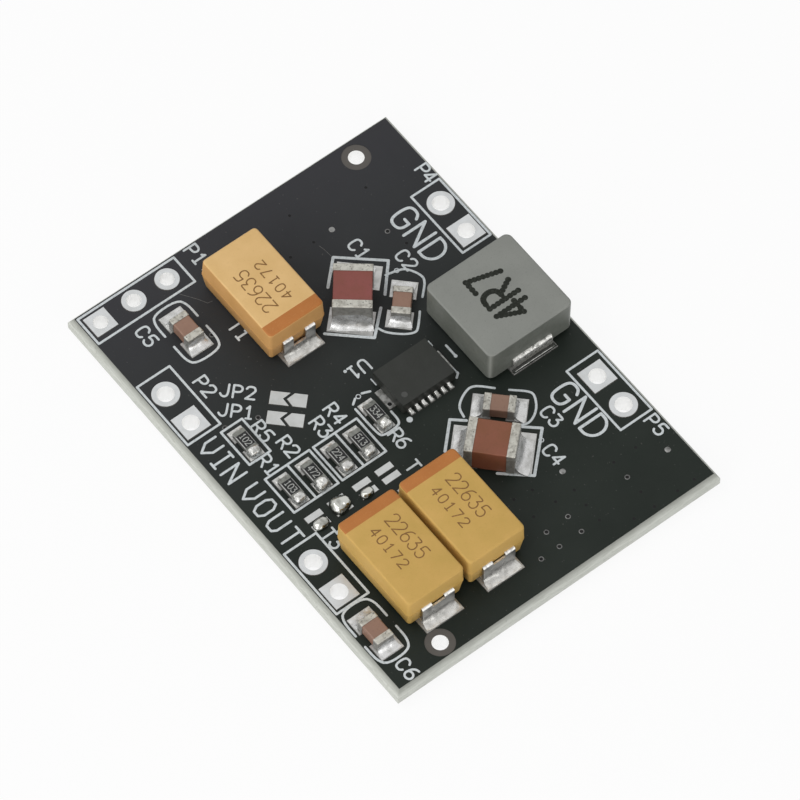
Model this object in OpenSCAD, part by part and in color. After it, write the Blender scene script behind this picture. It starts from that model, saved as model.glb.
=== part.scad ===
// Buck-boost converter module: a scored circuit board with plated terminal holes, a converter
// chip, a moulded inductor, three tantalum capacitors and the small chip parts round them.
// Origin at the middle of the underside, +Z up, +Y along the board's length.

/* [Board] */
// Width over the snapped edges
board_w = 24.7; // [24.4:0.1:32.4]
// Length over the snapped edges
board_l = 33; // [32.6:0.1:42.4]
// Thickness with both solder mask films
board_t = 1.6; // [0.8:0.1:2.4]
// How far the scoring sets each face back from the snapped edge
score_inset = 0.3; // [0.05:0.01:0.32]
// Height of the snapped web at mid-edge
score_web = 0.6; // [0.2:0.05:0.8]
// Thickness of each solder mask film
mask_t = 0.03; // [0.02:0.005:0.05]
// Gap between a copper land and the mask round it
mask_gap = 0.04; // [0.02:0.01:0.06]
// Thickness of the tinned copper lands
land_t = 0.06; // [0.05:0.005:0.1]

/* [Tooling holes] */
// Diameter of the tooling holes
tooling_hole_d = 1.04; // [0.8:0.02:1.2]
// Diameter of the bare laminate round them
tooling_bare_d = 1.9; // [1.5:0.05:1.95]
// Rear tooling hole, in from the right edge
rear_tooling_x = 3.5; // [2.7:0.05:5.2]
// Rear tooling hole, in from the rear edge
rear_tooling_y = 1.51; // [1.3:0.01:2.2]
// Front tooling hole, in from the left edge
front_tooling_x = 4.15; // [3.2:0.05:6.2]
// Front tooling hole, in from the front edge
front_tooling_y = 1.28; // [1.25:0.01:1.5]

/* [Terminal holes] */
// Pitch of the terminal and header holes
pin_pitch = 2.54; // [2.3:0.02:2.8]
// Width of a power terminal pad
power_pad = 1.76; // [1.5:0.02:2]
// Diameter of a power terminal hole
power_hole_d = 1.12; // [0.8:0.02:1.2]
// Width of a control header pad
control_pad = 1.56; // [1.4:0.02:1.8]
// Diameter of a control header hole
control_hole_d = 0.96; // [0.7:0.02:1.1]
// Thickness of the copper plating in the holes
plating_t = 0.05; // [0.03:0.005:0.08]
// How much wider a hole is drilled where the drill enters, at the top, than where it leaves
drill_taper = 0.01; // [0.005:0.005:0.03]
// Input terminal holes, in from the left edge
input_inset = 1.52; // [1.35:0.01:1.8]
// Output terminal holes, in from the left edge
output_inset = 1.49; // [1.35:0.01:1.8]
// Input ground holes, in from the right edge
input_ground_inset = 1.43; // [1.35:0.01:1.8]
// Output ground holes, in from the right edge
output_ground_inset = 1.59; // [1.35:0.01:1.8]
// First control hole, in from the left edge
control_inset_x = 1.44; // [1.3:0.01:1.8]
// Control holes, in from the rear edge
control_inset_y = 1.47; // [1.3:0.01:1.7]

/* [Tantalum capacitors] */
// Case length at the parting line
tantalum_l = 7.1; // [6.6:0.05:7.2]
// Case width at the parting line
tantalum_w = 4.3; // [4:0.05:4.4]
// Height of the case top above the lands
tantalum_h = 2.85; // [2:0.05:4]
// Draft: how far the top and bottom faces stand in from the parting line
tantalum_draft = 0.12; // [0.05:0.01:0.2]
// Height of the flash at the parting line
tantalum_flash = 0.06; // [0.03:0.01:0.1]
// Gap between the two output capacitors
tantalum_gap = 0.32; // [0.2:0.02:0.6]
// Width of the leads
tantalum_lead_w = 2.4; // [2:0.05:2.8]
// Thickness of the lead strip
tantalum_lead_t = 0.13; // [0.1:0.01:0.18]
// Length of the lead's foot under the case
tantalum_foot = 1.3; // [0.8:0.05:1.8]
// Depth that the lead reaches into the case
tantalum_grip = 0.6; // [0.3:0.05:1]
// Width of the slot that forks the leads
tantalum_slot_w = 0.95; // [0.6:0.05:1.2]
// Depth of the fork in the anode lead
anode_slot = 0.95; // [0.5:0.05:1]
// Depth of the notch in the cathode lead
cathode_slot = 0.25; // [0.2:0.05:0.6]
// How far a land reaches beyond the case
tantalum_toe = 0.87; // [0.6:0.01:0.95]
// Length of a land
tantalum_land_l = 2.3; // [2:0.05:2.8]
// How far a land reaches beyond each side of the lead
tantalum_land_side = 0.2; // [0.1:0.02:0.3]

/* [Inductor] */
// Width and length of the pressed core
inductor_w = 6.5; // [6:0.1:6.8]
// Height of the core top above the lands
inductor_h = 2.9; // [2.4:0.1:4]
// Radius of the core's upright corners
inductor_corner_r = 0.45; // [0.3:0.05:1.2]
// Bevel round the top and bottom of the core
inductor_bevel = 0.12; // [0.05:0.01:0.25]
// Width of the strip leads
inductor_lead_w = 3; // [2.4:0.1:3.4]
// Thickness of the strip leads
inductor_lead_t = 0.16; // [0.1:0.01:0.2]
// Height at which the leads leave the core
inductor_exit_z = 0.95; // [0.7:0.05:1.4]
// Length of the lead's foot under the core
inductor_foot = 1.5; // [1:0.1:2]
// Depth that the lead reaches into the core
inductor_grip = 0.5; // [0.3:0.05:1]
// How far a land reaches beyond the core
inductor_toe = 0.48; // [0.4:0.02:0.7]
// Length of a land
inductor_land_l = 2.1; // [1.8:0.1:2.5]
// How far a land reaches beyond each side of the lead
inductor_land_side = 0.2; // [0.1:0.05:0.3]

/* [Converter chip] */
// Length of the case, along its rows of leads
converter_l = 4; // [4:0.05:4.2]
// Width of the case
converter_w = 3; // [2.8:0.05:3.2]
// Height of the case
converter_h = 0.95; // [0.7:0.05:1.1]
// Leads along each long side
converter_pins = 7; // [5:1:7]
// Pitch of the leads
converter_pitch = 0.5; // [0.45:0.01:0.52]
// Width of a lead
converter_lead_w = 0.24; // [0.18:0.01:0.28]
// Length of a lead along the underside
converter_lead_l = 0.45; // [0.3:0.05:0.5]
// Height of a lead
converter_lead_h = 0.2; // [0.12:0.01:0.25]
// Length of the thermal pad
thermal_pad_l = 2.6; // [2:0.1:3]
// Width of the thermal pad
thermal_pad_w = 1.5; // [1:0.05:1.6]
// How far the thermal land reaches beyond each end of the case
thermal_toe = 0.45; // [0.3:0.05:0.5]
// How far a lead's land reaches beyond the case
converter_toe = 0.4; // [0.3:0.02:0.5]
// How much wider a lead's land is than the lead
converter_land_extra = 0.06; // [0.02:0.01:0.1]

/* [Large ceramic capacitors] */
// Length
big_cap_l = 3.2; // [3:0.05:3.4]
// Width
big_cap_w = 2.5; // [2.3:0.05:2.6]
// Height
big_cap_h = 2; // [1.2:0.1:2.5]
// Length of an end termination
big_cap_band = 0.55; // [0.35:0.05:0.8]
// How far a land reaches beyond the chip
big_cap_toe = 0.93; // [0.8:0.01:1]
// Length of a land
big_cap_land_l = 1.75; // [1.5:0.05:1.9]
// How far a land reaches beyond each side of the chip
big_cap_land_side = 0.17; // [0.1:0.01:0.2]

/* [Small ceramic capacitors] */
// Length
small_cap_l = 2; // [1.8:0.05:2.1]
// Width
small_cap_w = 1.25; // [1.1:0.05:1.3]
// Height
small_cap_h = 0.95; // [0.6:0.05:1.3]
// Length of an end termination
small_cap_band = 0.45; // [0.3:0.05:0.6]
// How far a land reaches beyond the chip
small_cap_toe = 0.72; // [0.6:0.01:0.78]
// Length of a land
small_cap_land_l = 1.25; // [1.05:0.05:1.4]
// How far a land reaches beyond each side of the chip
small_cap_land_side = 0.2; // [0.1:0.01:0.22]

/* [Chip resistors] */
// Length
resistor_l = 1.6; // [1.5:0.05:1.7]
// Width
resistor_w = 0.8; // [0.7:0.05:0.9]
// Height over the terminations
resistor_h = 0.45; // [0.35:0.01:0.6]
// Length of an end termination
resistor_band = 0.3; // [0.2:0.01:0.4]
// How far the black overcoat stands in from each side
resistor_coat_inset = 0.04; // [0.02:0.01:0.1]
// How far a land reaches beyond the chip
resistor_toe = 0.42; // [0.35:0.01:0.5]
// Length of a land
resistor_land_l = 0.85; // [0.75:0.05:0.95]
// How far a land reaches beyond each side of the chip
resistor_land_side = 0.12; // [0.08:0.01:0.18]

/* [Chip finish] */
// Thickness of the plated terminations
plate_t = 0.04; // [0.02:0.01:0.06]
// Radius of the edges of the ceramic capacitors
chip_edge_r = 0.1; // [0.06:0.01:0.14]

/* [Jumpers] */
// Length of an interlocking mode jumper, end to end
mode_jumper_l = 2.28; // [2.1:0.02:2.5]
// Width of a mode jumper
mode_jumper_w = 0.93; // [0.7:0.01:1]
// Depth of the arrow point and of the notch that takes it
mode_point = 0.42; // [0.3:0.01:0.5]
// Gap between the arrow point and the notch, along the jumper
mode_gap = 0.25; // [0.2:0.01:0.3]
// Pitch of the two mode jumpers
mode_pitch = 1.41; // [1.2:0.01:1.6]
// Width of a voltage-select land
select_land_w = 1.18; // [1:0.02:1.3]
// Depth of a voltage-select land
select_land_l = 0.44; // [0.36:0.02:0.5]
// Pitch of the two lands of a voltage-select jumper
select_pitch = 0.72; // [0.66:0.01:0.78]

/* [Solder] */
// Thickness of solder at the outer edge of a fillet
solder_edge = 0.05; // [0.03:0.01:0.08]
// Radius of a fillet's hollow face, in lengths of its chord
solder_hollow = 1.1; // [0.8:0.05:2]
// Climb of solder up the tantalum leads
tantalum_climb = 0.5; // [0.3:0.05:0.7]
// Climb of solder up the inductor leads
inductor_climb = 0.3; // [0.2:0.02:0.5]
// Climb of solder up the large ceramic capacitors
big_cap_climb = 1.1; // [0.5:0.05:1.2]
// Climb of solder up the small ceramic capacitors
small_cap_climb = 0.55; // [0.25:0.05:0.6]
// Climb of solder up the resistors
resistor_climb = 0.26; // [0.15:0.01:0.35]
// Climb of solder up the converter leads
converter_climb = 0.16; // [0.08:0.01:0.2]
// Solder that stays back from the rim of its land
solder_margin = 0.06; // [0.04:0.01:0.1]
// Height of a solder bead on a jumper land
bead_h = 0.3; // [0.15:0.01:0.4]
// Height of the bead that bridges the two lands of a jumper
bridge_h = 0.46; // [0.2:0.01:0.6]

/* [Layout from the middle of the board] */
// Middle of the input terminal holes, along y
input_y = 7.22; // [6.5:0.01:7.5]
// Middle of the input ground holes, along y
input_ground_y = 7.83; // [7:0.01:8]
// Middle of the output terminal holes, along y
output_y = -7.56; // [-7.8:0.01:-7]
// Middle of the output ground holes, along y
output_ground_y = -7.84; // [-8:0.01:-7]
// Input tantalum capacitor, x and y
input_tantalum = [-2.33, 9.87]; // [-12:0.01:12]
// Middle of the pair of output tantalum capacitors, x and y
output_pair = [-4.74, -9.87]; // [-12:0.01:12]
// Gap between the inductor core and the right edge
inductor_edge = 0.6; // [0.3:0.05:0.8]
// Inductor, along y
inductor_y = 0.32; // [0:0.01:0.5]
// Converter chip, x and y
converter = [1.75, 0.05]; // [-12:0.01:12]
// Large input capacitor, x and y
big_input_cap = [2.44, 6.85]; // [-12:0.01:12]
// Large output capacitor, x and y
big_output_cap = [2.51, -6.72]; // [-12:0.01:12]
// Small input capacitor, x and y
small_input_cap = [4.46, 4.75]; // [-12:0.01:12]
// Small output capacitor, x and y
small_output_cap = [4.64, -4.69]; // [-12:0.01:12]
// Capacitor by the control header, along x
header_cap_x = -7.18; // [-7.5:0.01:-6.5]
// Capacitor by the control header, in from the rear edge
header_cap_inset = 5.23; // [5:0.01:5.7]
// Capacitor by the left edge, left of the middle of the room it has there
edge_cap_shift = 0.115; // [0:0.005:0.15]
// Capacitor by the left edge, along y
edge_cap_y = -12.4; // [-13:0.01:-12]
// Columns of the voltage dividers and select jumpers, along x
select_columns = [-8.89, -7.17, -5.26, -3.54]; // [-12:0.01:12]
// Row of the voltage dividers, along y
divider_y = -1.52; // [-1.8:0.01:-1]
// Row of the select jumpers, along y
select_y = -4.15; // [-4.2:0.01:-3.9]
// Resistor by the input terminal, x and y
input_resistor = [-9.07, 2.75]; // [-12:0.01:12]
// Resistor by the converter chip, x and y
converter_resistor = [-1.62, -0.55]; // [-12:0.01:12]
// Middle of the pair of mode jumpers, x and y
mode_jumpers = [-5.64, 3.14]; // [-12:0.01:12]

/* [How the chips came to rest] */
// Large input capacitor: slip along x, along y, and skew
big_input_rest = [-0.25, -0.12, 6]; // [-8:0.01:8]
// Large output capacitor: slip along x, along y, and skew
big_output_rest = [-0.23, -0.19, -2]; // [-8:0.01:8]
// Small input capacitor: slip along x, along y, and skew
small_input_rest = [-0.1, -0.16, 2]; // [-8:0.01:8]
// Small output capacitor: slip along x, along y, and skew
small_output_rest = [-0.09, -0.11, 0]; // [-8:0.01:8]
// Capacitor by the control header: slip along x, along y, and skew
header_cap_rest = [-0.05, -0.12, 0]; // [-8:0.01:8]
// Capacitor by the left edge: slip along x, along y, and skew
edge_cap_rest = [-0.06, -0.1, 0]; // [-8:0.01:8]
// First select bead: shift along x, length and breadth
first_bead = [0.02, 1.1, 0.62]; // [-0.3:0.01:1.3]
// Second select bead, which bridges its two lands: shift along y, length and breadth
bridge_bead = [-0.02, 1.34, 1.26]; // [-0.3:0.01:1.5]
// Third select bead: shift along x, length and breadth
third_bead = [-0.14, 0.9, 0.6]; // [-0.3:0.01:1.3]

/* [Hidden] */
$fn = 48;
// Overlap that carries a cut clear through a face
cut = 0.1;
core_bottom = mask_t;
core_top = board_t - mask_t;
land_top = core_top + land_t;
face_w = board_w - 2 * score_inset;
face_l = board_l - 2 * score_inset;
left = -board_w / 2;
right = board_w / 2;
rear = board_l / 2;
front = -board_l / 2;

// Terminal hole groups: middle, step from hole to hole, hole count, square pad, pad and hole sizes
down = [0, -pin_pitch];
across = [pin_pitch, 0];
input_pins = [[left + input_inset, input_y], down, 2, 1, power_pad, power_hole_d];
input_ground_pins = [[right - input_ground_inset, input_ground_y], down, 2, 1, power_pad, power_hole_d];
output_pins = [[left + output_inset, output_y], down, 2, 1, power_pad, power_hole_d];
output_ground_pins = [[right - output_ground_inset, output_ground_y], down, 2, 0, power_pad, power_hole_d];
control_pins = [[left + control_inset_x + pin_pitch, rear - control_inset_y], across, 3, 0,
                control_pad, control_hole_d];
PIN_GROUPS = [input_pins, input_ground_pins, output_pins, output_ground_pins, control_pins];
tooling_at = [[right - rear_tooling_x, rear - rear_tooling_y],
              [left + front_tooling_x, front + front_tooling_y]];

// Placements: x, y and turn of the footprint, then the slip and skew of the chip on it
input_turn = 45;
output_turn = -45;
no_slip = [0, 0, 0];
pair_half = [(tantalum_w + tantalum_gap) / 2, 0];
pair_left = output_pair[0] - pair_half[0] - tantalum_w / 2;
edge_cap_x = (left + pair_left) / 2 - edge_cap_shift;
tantalums = [concat(input_tantalum, 180), concat(output_pair + pair_half, 0),
             concat(output_pair - pair_half, 0)];
inductor_at = [right - inductor_edge - inductor_w / 2, inductor_y, 90];
converter_at = concat(converter, 0);
big_caps = [concat(big_input_cap, input_turn, big_input_rest),
            concat(big_output_cap, output_turn, big_output_rest)];
small_caps = [concat(small_input_cap, input_turn, small_input_rest),
              concat(small_output_cap, output_turn, small_output_rest),
              concat(header_cap_x, rear - header_cap_inset, 90, header_cap_rest),
              concat(edge_cap_x, edge_cap_y, 90, edge_cap_rest)];
resistors = concat([for (x = select_columns) concat(x, divider_y, 90, no_slip)],
                   [concat(input_resistor, 90, no_slip), concat(converter_resistor, 90, no_slip)]);
mode_turn = -45;
// Beads on the select jumpers: x, y, length, breadth and height
near_land_y = select_y - select_pitch / 2;
select_beads = [[select_columns[0] + first_bead[0], near_land_y, first_bead[1], first_bead[2], bead_h],
                [select_columns[1], select_y + bridge_bead[0], bridge_bead[1], bridge_bead[2], bridge_h],
                [select_columns[2] + third_bead[0], near_land_y, third_bead[1], third_bead[2], bead_h]];

tantalum_span = tantalum_l + 2 * tantalum_toe;
inductor_span = inductor_w + 2 * inductor_toe;
big_cap_span = big_cap_l + 2 * big_cap_toe;
small_cap_span = small_cap_l + 2 * small_cap_toe;
resistor_span = resistor_l + 2 * resistor_toe;
tantalum_mid = (tantalum_lead_t + tantalum_h) / 2;
// A folded lead stands off the body's end by its bend
bend_in = 0.06;

// Shared shapes

// Slab whose sides lean in above and below an upright web at mid-height
module leaning_slab(w, l, z0, z1, inset, web) {
    mid = (z0 + z1) / 2;
    intersection() {
        rotate([90, 0, 0]) linear_extrude(l, center = true) leaning_profile(w, z0, z1, mid, inset, web);
        rotate([90, 0, 90]) linear_extrude(w, center = true) leaning_profile(l, z0, z1, mid, inset, web);
    }
}

module leaning_profile(w, z0, z1, mid, inset, web) {
    polygon([[-w / 2 + inset, z0], [w / 2 - inset, z0], [w / 2, mid - web / 2], [w / 2, mid + web / 2],
             [w / 2 - inset, z1], [-w / 2 + inset, z1], [-w / 2, mid + web / 2], [-w / 2, mid - web / 2]]);
}

// Upright prism with rounded corners, centred on the origin
module round_prism(a, b, h, r) {
    cube([a - 2 * r, b, h], center = true);
    cube([a, b - 2 * r, h], center = true);
    for (sx = [-1, 1], sy = [-1, 1])
        translate([sx * (a / 2 - r), sy * (b / 2 - r), 0]) cylinder(h = h, r = r, center = true);
}

// Block with its base at zero and all its edges rounded
module soft_block(l, w, h, r) {
    translate([0, 0, h / 2]) intersection() {
        round_prism(l, w, h, r);
        rotate([90, 0, 0]) round_prism(l, h, w, r);
        rotate([0, 90, 0]) round_prism(h, w, l, r);
    }
}

// Places its children on a footprint, standing on the lands
module on_footprint(p) {
    translate([p[0], p[1], land_top]) rotate(p[2]) children();
}

// Places its children where a chip came to rest on its footprint
module on_chip(p) {
    translate([p[0] + p[3], p[1] + p[4], land_top]) rotate(p[2] + p[5]) children();
}

// Two lands in line along x, each grown all round by g
module land_pair(span, l, w, g = 0) {
    for (s = [-1, 1]) translate([s * (span - l) / 2, 0]) square([l + 2 * g, w + 2 * g], center = true);
}

// Solder with a hollow face: from the upright face at x = 0 out to the toe
module solder_fillet(toe, width, climb) {
    run = toe - solder_edge;
    rise = climb - solder_edge;
    chord = norm([run, rise]);
    r = chord * solder_hollow;
    reach = sqrt(r * r - chord * chord / 4);
    mid = [solder_edge + run / 2, solder_edge + rise / 2];
    centre = mid + [rise, run] / chord * reach;
    rotate([90, 0, 0]) difference() {
        linear_extrude(width, center = true)
            polygon([[0, 0], [toe, 0], [toe, solder_edge], [solder_edge, climb], [0, climb]]);
        translate(centre) cylinder(h = width + cut, r = r, center = true);
    }
}

// Rounded bead of solder, flat underneath
module solder_bead(length, width, height) {
    r = (width * width / 4 + height * height) / (2 * height);
    straight = length - width;
    intersection() {
        translate([0, 0, height / 2]) cube([length + cut, width + cut, height], center = true);
        translate([0, 0, height - r]) {
            rotate([0, 90, 0]) cylinder(h = straight, r = r, center = true);
            for (s = [-1, 1]) translate([s * straight / 2, 0, 0]) sphere(r = r);
        }
    }
}

// Strip lead in the xz plane: out of the body end at x = 0, down and back under it
module folded_lead(w, t, exit_z, grip, foot, slot_w, slot) {
    outer_r = bend_in + t;
    high = exit_z - t / 2 - bend_in;
    difference() {
        union() {
            translate([-grip, -w / 2, exit_z - t / 2]) cube([grip, w, t]);
            lead_bend(w, t, high, 1);
            translate([bend_in, -w / 2, outer_r]) cube([t, w, high - outer_r]);
            lead_bend(w, t, outer_r, -1);
            translate([-foot, -w / 2, 0]) cube([foot, w, t]);
        }
        if (slot > 0)
            translate([-grip - cut, -slot_w / 2, exit_z + t / 2 - slot])
                cube([grip + outer_r + 2 * cut, slot_w, slot + cut]);
    }
}

// Quarter bend of a strip about a line at x = 0, turned up or down
module lead_bend(w, t, z, up) {
    translate([0, 0, z]) rotate([90, 0, 0]) intersection() {
        difference() {
            cylinder(h = w, r = bend_in + t, center = true);
            cylinder(h = w + cut, r = bend_in, center = true);
        }
        translate([0, up > 0 ? 0 : -bend_in - t, -w / 2]) cube([bend_in + t, bend_in + t, w]);
    }
}

// Board

module at_pins(g) {
    for (i = [0 : g[2] - 1]) {
        step = i - (g[2] - 1) / 2;
        translate([g[0][0] + g[1][0] * step, g[0][1] + g[1][1] * step, 0]) {
            $square_pad = i == g[3];
            children();
        }
    }
}

module pad_outline(size) {
    if ($square_pad) square(size, center = true);
    else circle(d = size);
}

// Outside diameter of the plated barrel in a hole
function barrel_d(hole_d) = hole_d + 2 * plating_t;

// Hole drilled for a barrel, which it fits where the drill leaves and clears where the drill entered
module drilled_hole(hole_d) {
    translate([0, 0, core_bottom - cut])
        cylinder(h = core_top - core_bottom + 2 * cut, d1 = barrel_d(hole_d), d2 = barrel_d(hole_d) + drill_taper);
}

module board_laminate() {
    color("tan") difference() {
        leaning_slab(board_w, board_l, core_bottom, core_top, score_inset, score_web);
        for (g = PIN_GROUPS) at_pins(g) drilled_hole(g[5]);
        for (p = tooling_at) translate([p[0], p[1], -cut])
            cylinder(h = board_t + 2 * cut, d = tooling_hole_d);
    }
}

// Film of solder mask with a clear ring at each hole
module mask_film(z) {
    difference() {
        translate([-face_w / 2, -face_l / 2, z]) cube([face_w, face_l, mask_t]);
        for (g = PIN_GROUPS) at_pins(g) translate([0, 0, z - cut])
            linear_extrude(mask_t + 2 * cut) pad_outline(g[4] + 2 * mask_gap);
        for (p = tooling_at) translate([p[0], p[1], z - cut])
            cylinder(h = mask_t + 2 * cut, d = tooling_bare_d);
    }
}

module top_solder_mask() {
    color([0.13, 0.13, 0.14]) difference() {
        mask_film(core_top);
        translate([0, 0, core_top - cut]) linear_extrude(mask_t + 2 * cut) {
            power_land_outlines(mask_gap);
            capacitor_land_outlines(mask_gap);
            resistor_land_outlines(mask_gap);
            converter_land_outlines(mask_gap);
            jumper_land_outlines(mask_gap);
        }
    }
}

module bottom_solder_mask() {
    color([0.13, 0.13, 0.14]) mask_film(0);
}

// Plated holes of one group: a pad on each face and the barrel that joins them
module plated_holes(g) {
    color("silver") at_pins(g) difference() {
        union() {
            linear_extrude(mask_t) pad_outline(g[4]);
            translate([0, 0, core_top]) linear_extrude(land_t) pad_outline(g[4]);
            cylinder(h = land_top, d = barrel_d(g[5]));
        }
        translate([0, 0, -cut]) cylinder(h = land_top + 2 * cut, d = g[5]);
    }
}

// Lands

module foot_at(p) {
    translate([p[0], p[1]]) rotate(p[2]) children();
}

module power_land_outlines(g = 0) {
    for (p = tantalums) foot_at(p) rotate(90)
        land_pair(tantalum_span, tantalum_land_l, tantalum_lead_w + 2 * tantalum_land_side, g);
    foot_at(inductor_at)
        land_pair(inductor_span, inductor_land_l, inductor_lead_w + 2 * inductor_land_side, g);
}

module capacitor_land_outlines(g = 0) {
    for (p = big_caps) foot_at(p)
        land_pair(big_cap_span, big_cap_land_l, big_cap_w + 2 * big_cap_land_side, g);
    for (p = small_caps) foot_at(p)
        land_pair(small_cap_span, small_cap_land_l, small_cap_w + 2 * small_cap_land_side, g);
}

module resistor_land_outlines(g = 0) {
    for (p = resistors) foot_at(p)
        land_pair(resistor_span, resistor_land_l, resistor_w + 2 * resistor_land_side, g);
}

// Places its children at the middle of each converter lead's outer end, facing out along x
module at_converter_leads() {
    for (side = [-1, 1], i = [0 : converter_pins - 1])
        translate([(i - (converter_pins - 1) / 2) * converter_pitch, side * converter_w / 2, 0])
            rotate(side * 90) children();
}

module converter_land_outlines(g = 0) {
    foot_at(converter_at) {
        at_converter_leads() translate([(converter_toe - converter_lead_l) / 2, 0])
            square([converter_toe + converter_lead_l + 2 * g,
                    converter_lead_w + converter_land_extra + 2 * g], center = true);
        square([converter_l + 2 * thermal_toe + 2 * g, thermal_pad_w + 2 * g], center = true);
    }
}

// Notched half and arrow half of a mode jumper
module mode_jumper_outline(g) {
    end = mode_jumper_l / 2 + g;
    side = mode_jumper_w / 2 + g;
    half_point = mode_point / 2;
    half_gap = mode_gap / 2 - g;
    polygon([[-end, -side], [half_point - half_gap, -side], [-half_point - half_gap, 0],
             [half_point - half_gap, side], [-end, side]]);
    polygon([[end, -side], [end, side], [half_point + half_gap, side],
             [half_gap - half_point, 0], [half_point + half_gap, -side]]);
}

module jumper_land_outlines(g = 0) {
    translate(mode_jumpers) rotate(mode_turn)
        for (s = [-1, 1]) translate([0, s * mode_pitch / 2]) mode_jumper_outline(g);
    for (x = select_columns) translate([x, select_y]) rotate(90)
        land_pair(select_pitch + select_land_l, select_land_l, select_land_w, g);
}

module lands() {
    color("lightgray") translate([0, 0, core_top]) linear_extrude(land_t) children();
}

module power_lands() {
    lands() power_land_outlines();
}

module capacitor_lands() {
    lands() capacitor_land_outlines();
}

module resistor_lands() {
    lands() resistor_land_outlines();
}

module converter_lands() {
    lands() converter_land_outlines();
}

module jumper_lands() {
    lands() jumper_land_outlines();
}

// Tantalum capacitors: length along y, anode at +y

module tantalum_end(s) {
    rotate(s * 90) translate([tantalum_l / 2, 0, 0]) children();
}

module tantalum_lead(s, slot) {
    tantalum_end(s) folded_lead(tantalum_lead_w, tantalum_lead_t, tantalum_mid, tantalum_grip, tantalum_foot,
                                tantalum_slot_w, slot);
}

module tantalum_case(i) {
    color("goldenrod") on_footprint(tantalums[i]) difference() {
        leaning_slab(tantalum_w, tantalum_l, tantalum_lead_t, tantalum_h, tantalum_draft, tantalum_flash);
        tantalum_lead(1, anode_slot);
        tantalum_lead(-1, cathode_slot);
    }
}

module tantalum_anode_lead(i) {
    color("silver") on_footprint(tantalums[i]) tantalum_lead(1, anode_slot);
}

module tantalum_cathode_lead(i) {
    color("silver") on_footprint(tantalums[i]) tantalum_lead(-1, cathode_slot);
}

module tantalum_solder() {
    off = bend_in + tantalum_lead_t;
    width = tantalum_lead_w + 2 * (tantalum_land_side - solder_margin);
    color("lightgray") for (p = tantalums, s = [-1, 1]) on_footprint(p) tantalum_end(s)
        translate([off, 0, 0]) solder_fillet(tantalum_toe - off - solder_margin, width, tantalum_climb);
}

// Inductor: leads at both ends of local x

module inductor_lead(s) {
    rotate(s > 0 ? 0 : 180) translate([inductor_w / 2, 0, 0])
        folded_lead(inductor_lead_w, inductor_lead_t, inductor_exit_z, inductor_grip, inductor_foot, 0, 0);
}

module inductor_core() {
    core_h = inductor_h - inductor_lead_t;
    color("gray") on_footprint(inductor_at) difference() {
        intersection() {
            translate([0, 0, inductor_lead_t + core_h / 2])
                round_prism(inductor_w, inductor_w, core_h, inductor_corner_r);
            leaning_slab(inductor_w, inductor_w, inductor_lead_t, inductor_h, inductor_bevel,
                         core_h - 2 * inductor_bevel);
        }
        inductor_lead(1);
        inductor_lead(-1);
    }
}

module inductor_rear_lead() {
    color("silver") on_footprint(inductor_at) inductor_lead(1);
}

module inductor_front_lead() {
    color("silver") on_footprint(inductor_at) inductor_lead(-1);
}

module inductor_solder() {
    off = bend_in + inductor_lead_t;
    color("lightgray") on_footprint(inductor_at) for (s = [0, 180]) rotate(s)
        translate([inductor_w / 2 + off, 0, 0])
            solder_fillet(inductor_toe - off - solder_margin, inductor_lead_w, inductor_climb);
}

// Converter chip

module converter_lead_blocks() {
    at_converter_leads() translate([-converter_lead_l, -converter_lead_w / 2, 0])
        cube([converter_lead_l, converter_lead_w, converter_lead_h]);
}

module thermal_pad_block() {
    translate([-thermal_pad_l / 2, -thermal_pad_w / 2, 0])
        cube([thermal_pad_l, thermal_pad_w, converter_lead_h]);
}

module converter_case() {
    color([0.2, 0.2, 0.21]) on_footprint(converter_at) difference() {
        translate([-converter_l / 2, -converter_w / 2, 0]) cube([converter_l, converter_w, converter_h]);
        converter_lead_blocks();
        thermal_pad_block();
    }
}

module converter_leads() {
    color("silver") on_footprint(converter_at) converter_lead_blocks();
}

module converter_thermal_pad() {
    color("silver") on_footprint(converter_at) thermal_pad_block();
}

module converter_solder() {
    color("lightgray") on_footprint(converter_at) at_converter_leads()
        solder_fillet(converter_toe - solder_margin, converter_lead_w, converter_climb);
}

// Ceramic capacitors

module ceramic_block(l, w, h) {
    translate([0, 0, plate_t])
        soft_block(l - 2 * plate_t, w - 2 * plate_t, h - 2 * plate_t, chip_edge_r - plate_t / 2);
}

module ceramic_ends(l, w, h, band) {
    difference() {
        soft_block(l, w, h, chip_edge_r);
        ceramic_block(l, w, h);
        translate([0, 0, h / 2]) cube([l - 2 * band, w + cut, h + cut], center = true);
    }
}

module large_cap_ceramic(i) {
    color("sienna") on_chip(big_caps[i]) ceramic_block(big_cap_l, big_cap_w, big_cap_h);
}

module large_cap_ends(i) {
    color("silver") on_chip(big_caps[i]) ceramic_ends(big_cap_l, big_cap_w, big_cap_h, big_cap_band);
}

module small_cap_ceramic(i) {
    color("sienna") on_chip(small_caps[i]) ceramic_block(small_cap_l, small_cap_w, small_cap_h);
}

module small_cap_ends(i) {
    color("silver") on_chip(small_caps[i])
        ceramic_ends(small_cap_l, small_cap_w, small_cap_h, small_cap_band);
}

// Fillets at both ends of a chip, each as long as its land leaves room for
module chip_fillets(p, l, w, toe, climb) {
    slip = p[3] * cos(p[2]) + p[4] * sin(p[2]);
    skew_room = w / 2 * abs(sin(p[5]));
    on_chip(p) for (s = [-1, 1]) rotate(s > 0 ? 0 : 180) translate([l / 2, 0, 0])
        solder_fillet(toe - s * slip - skew_room - solder_margin, w - 2 * chip_edge_r, climb);
}

module capacitor_solder() {
    color("lightgray") {
        for (p = big_caps) chip_fillets(p, big_cap_l, big_cap_w, big_cap_toe, big_cap_climb);
        for (p = small_caps) chip_fillets(p, small_cap_l, small_cap_w, small_cap_toe, small_cap_climb);
    }
}

// Chip resistors

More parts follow.
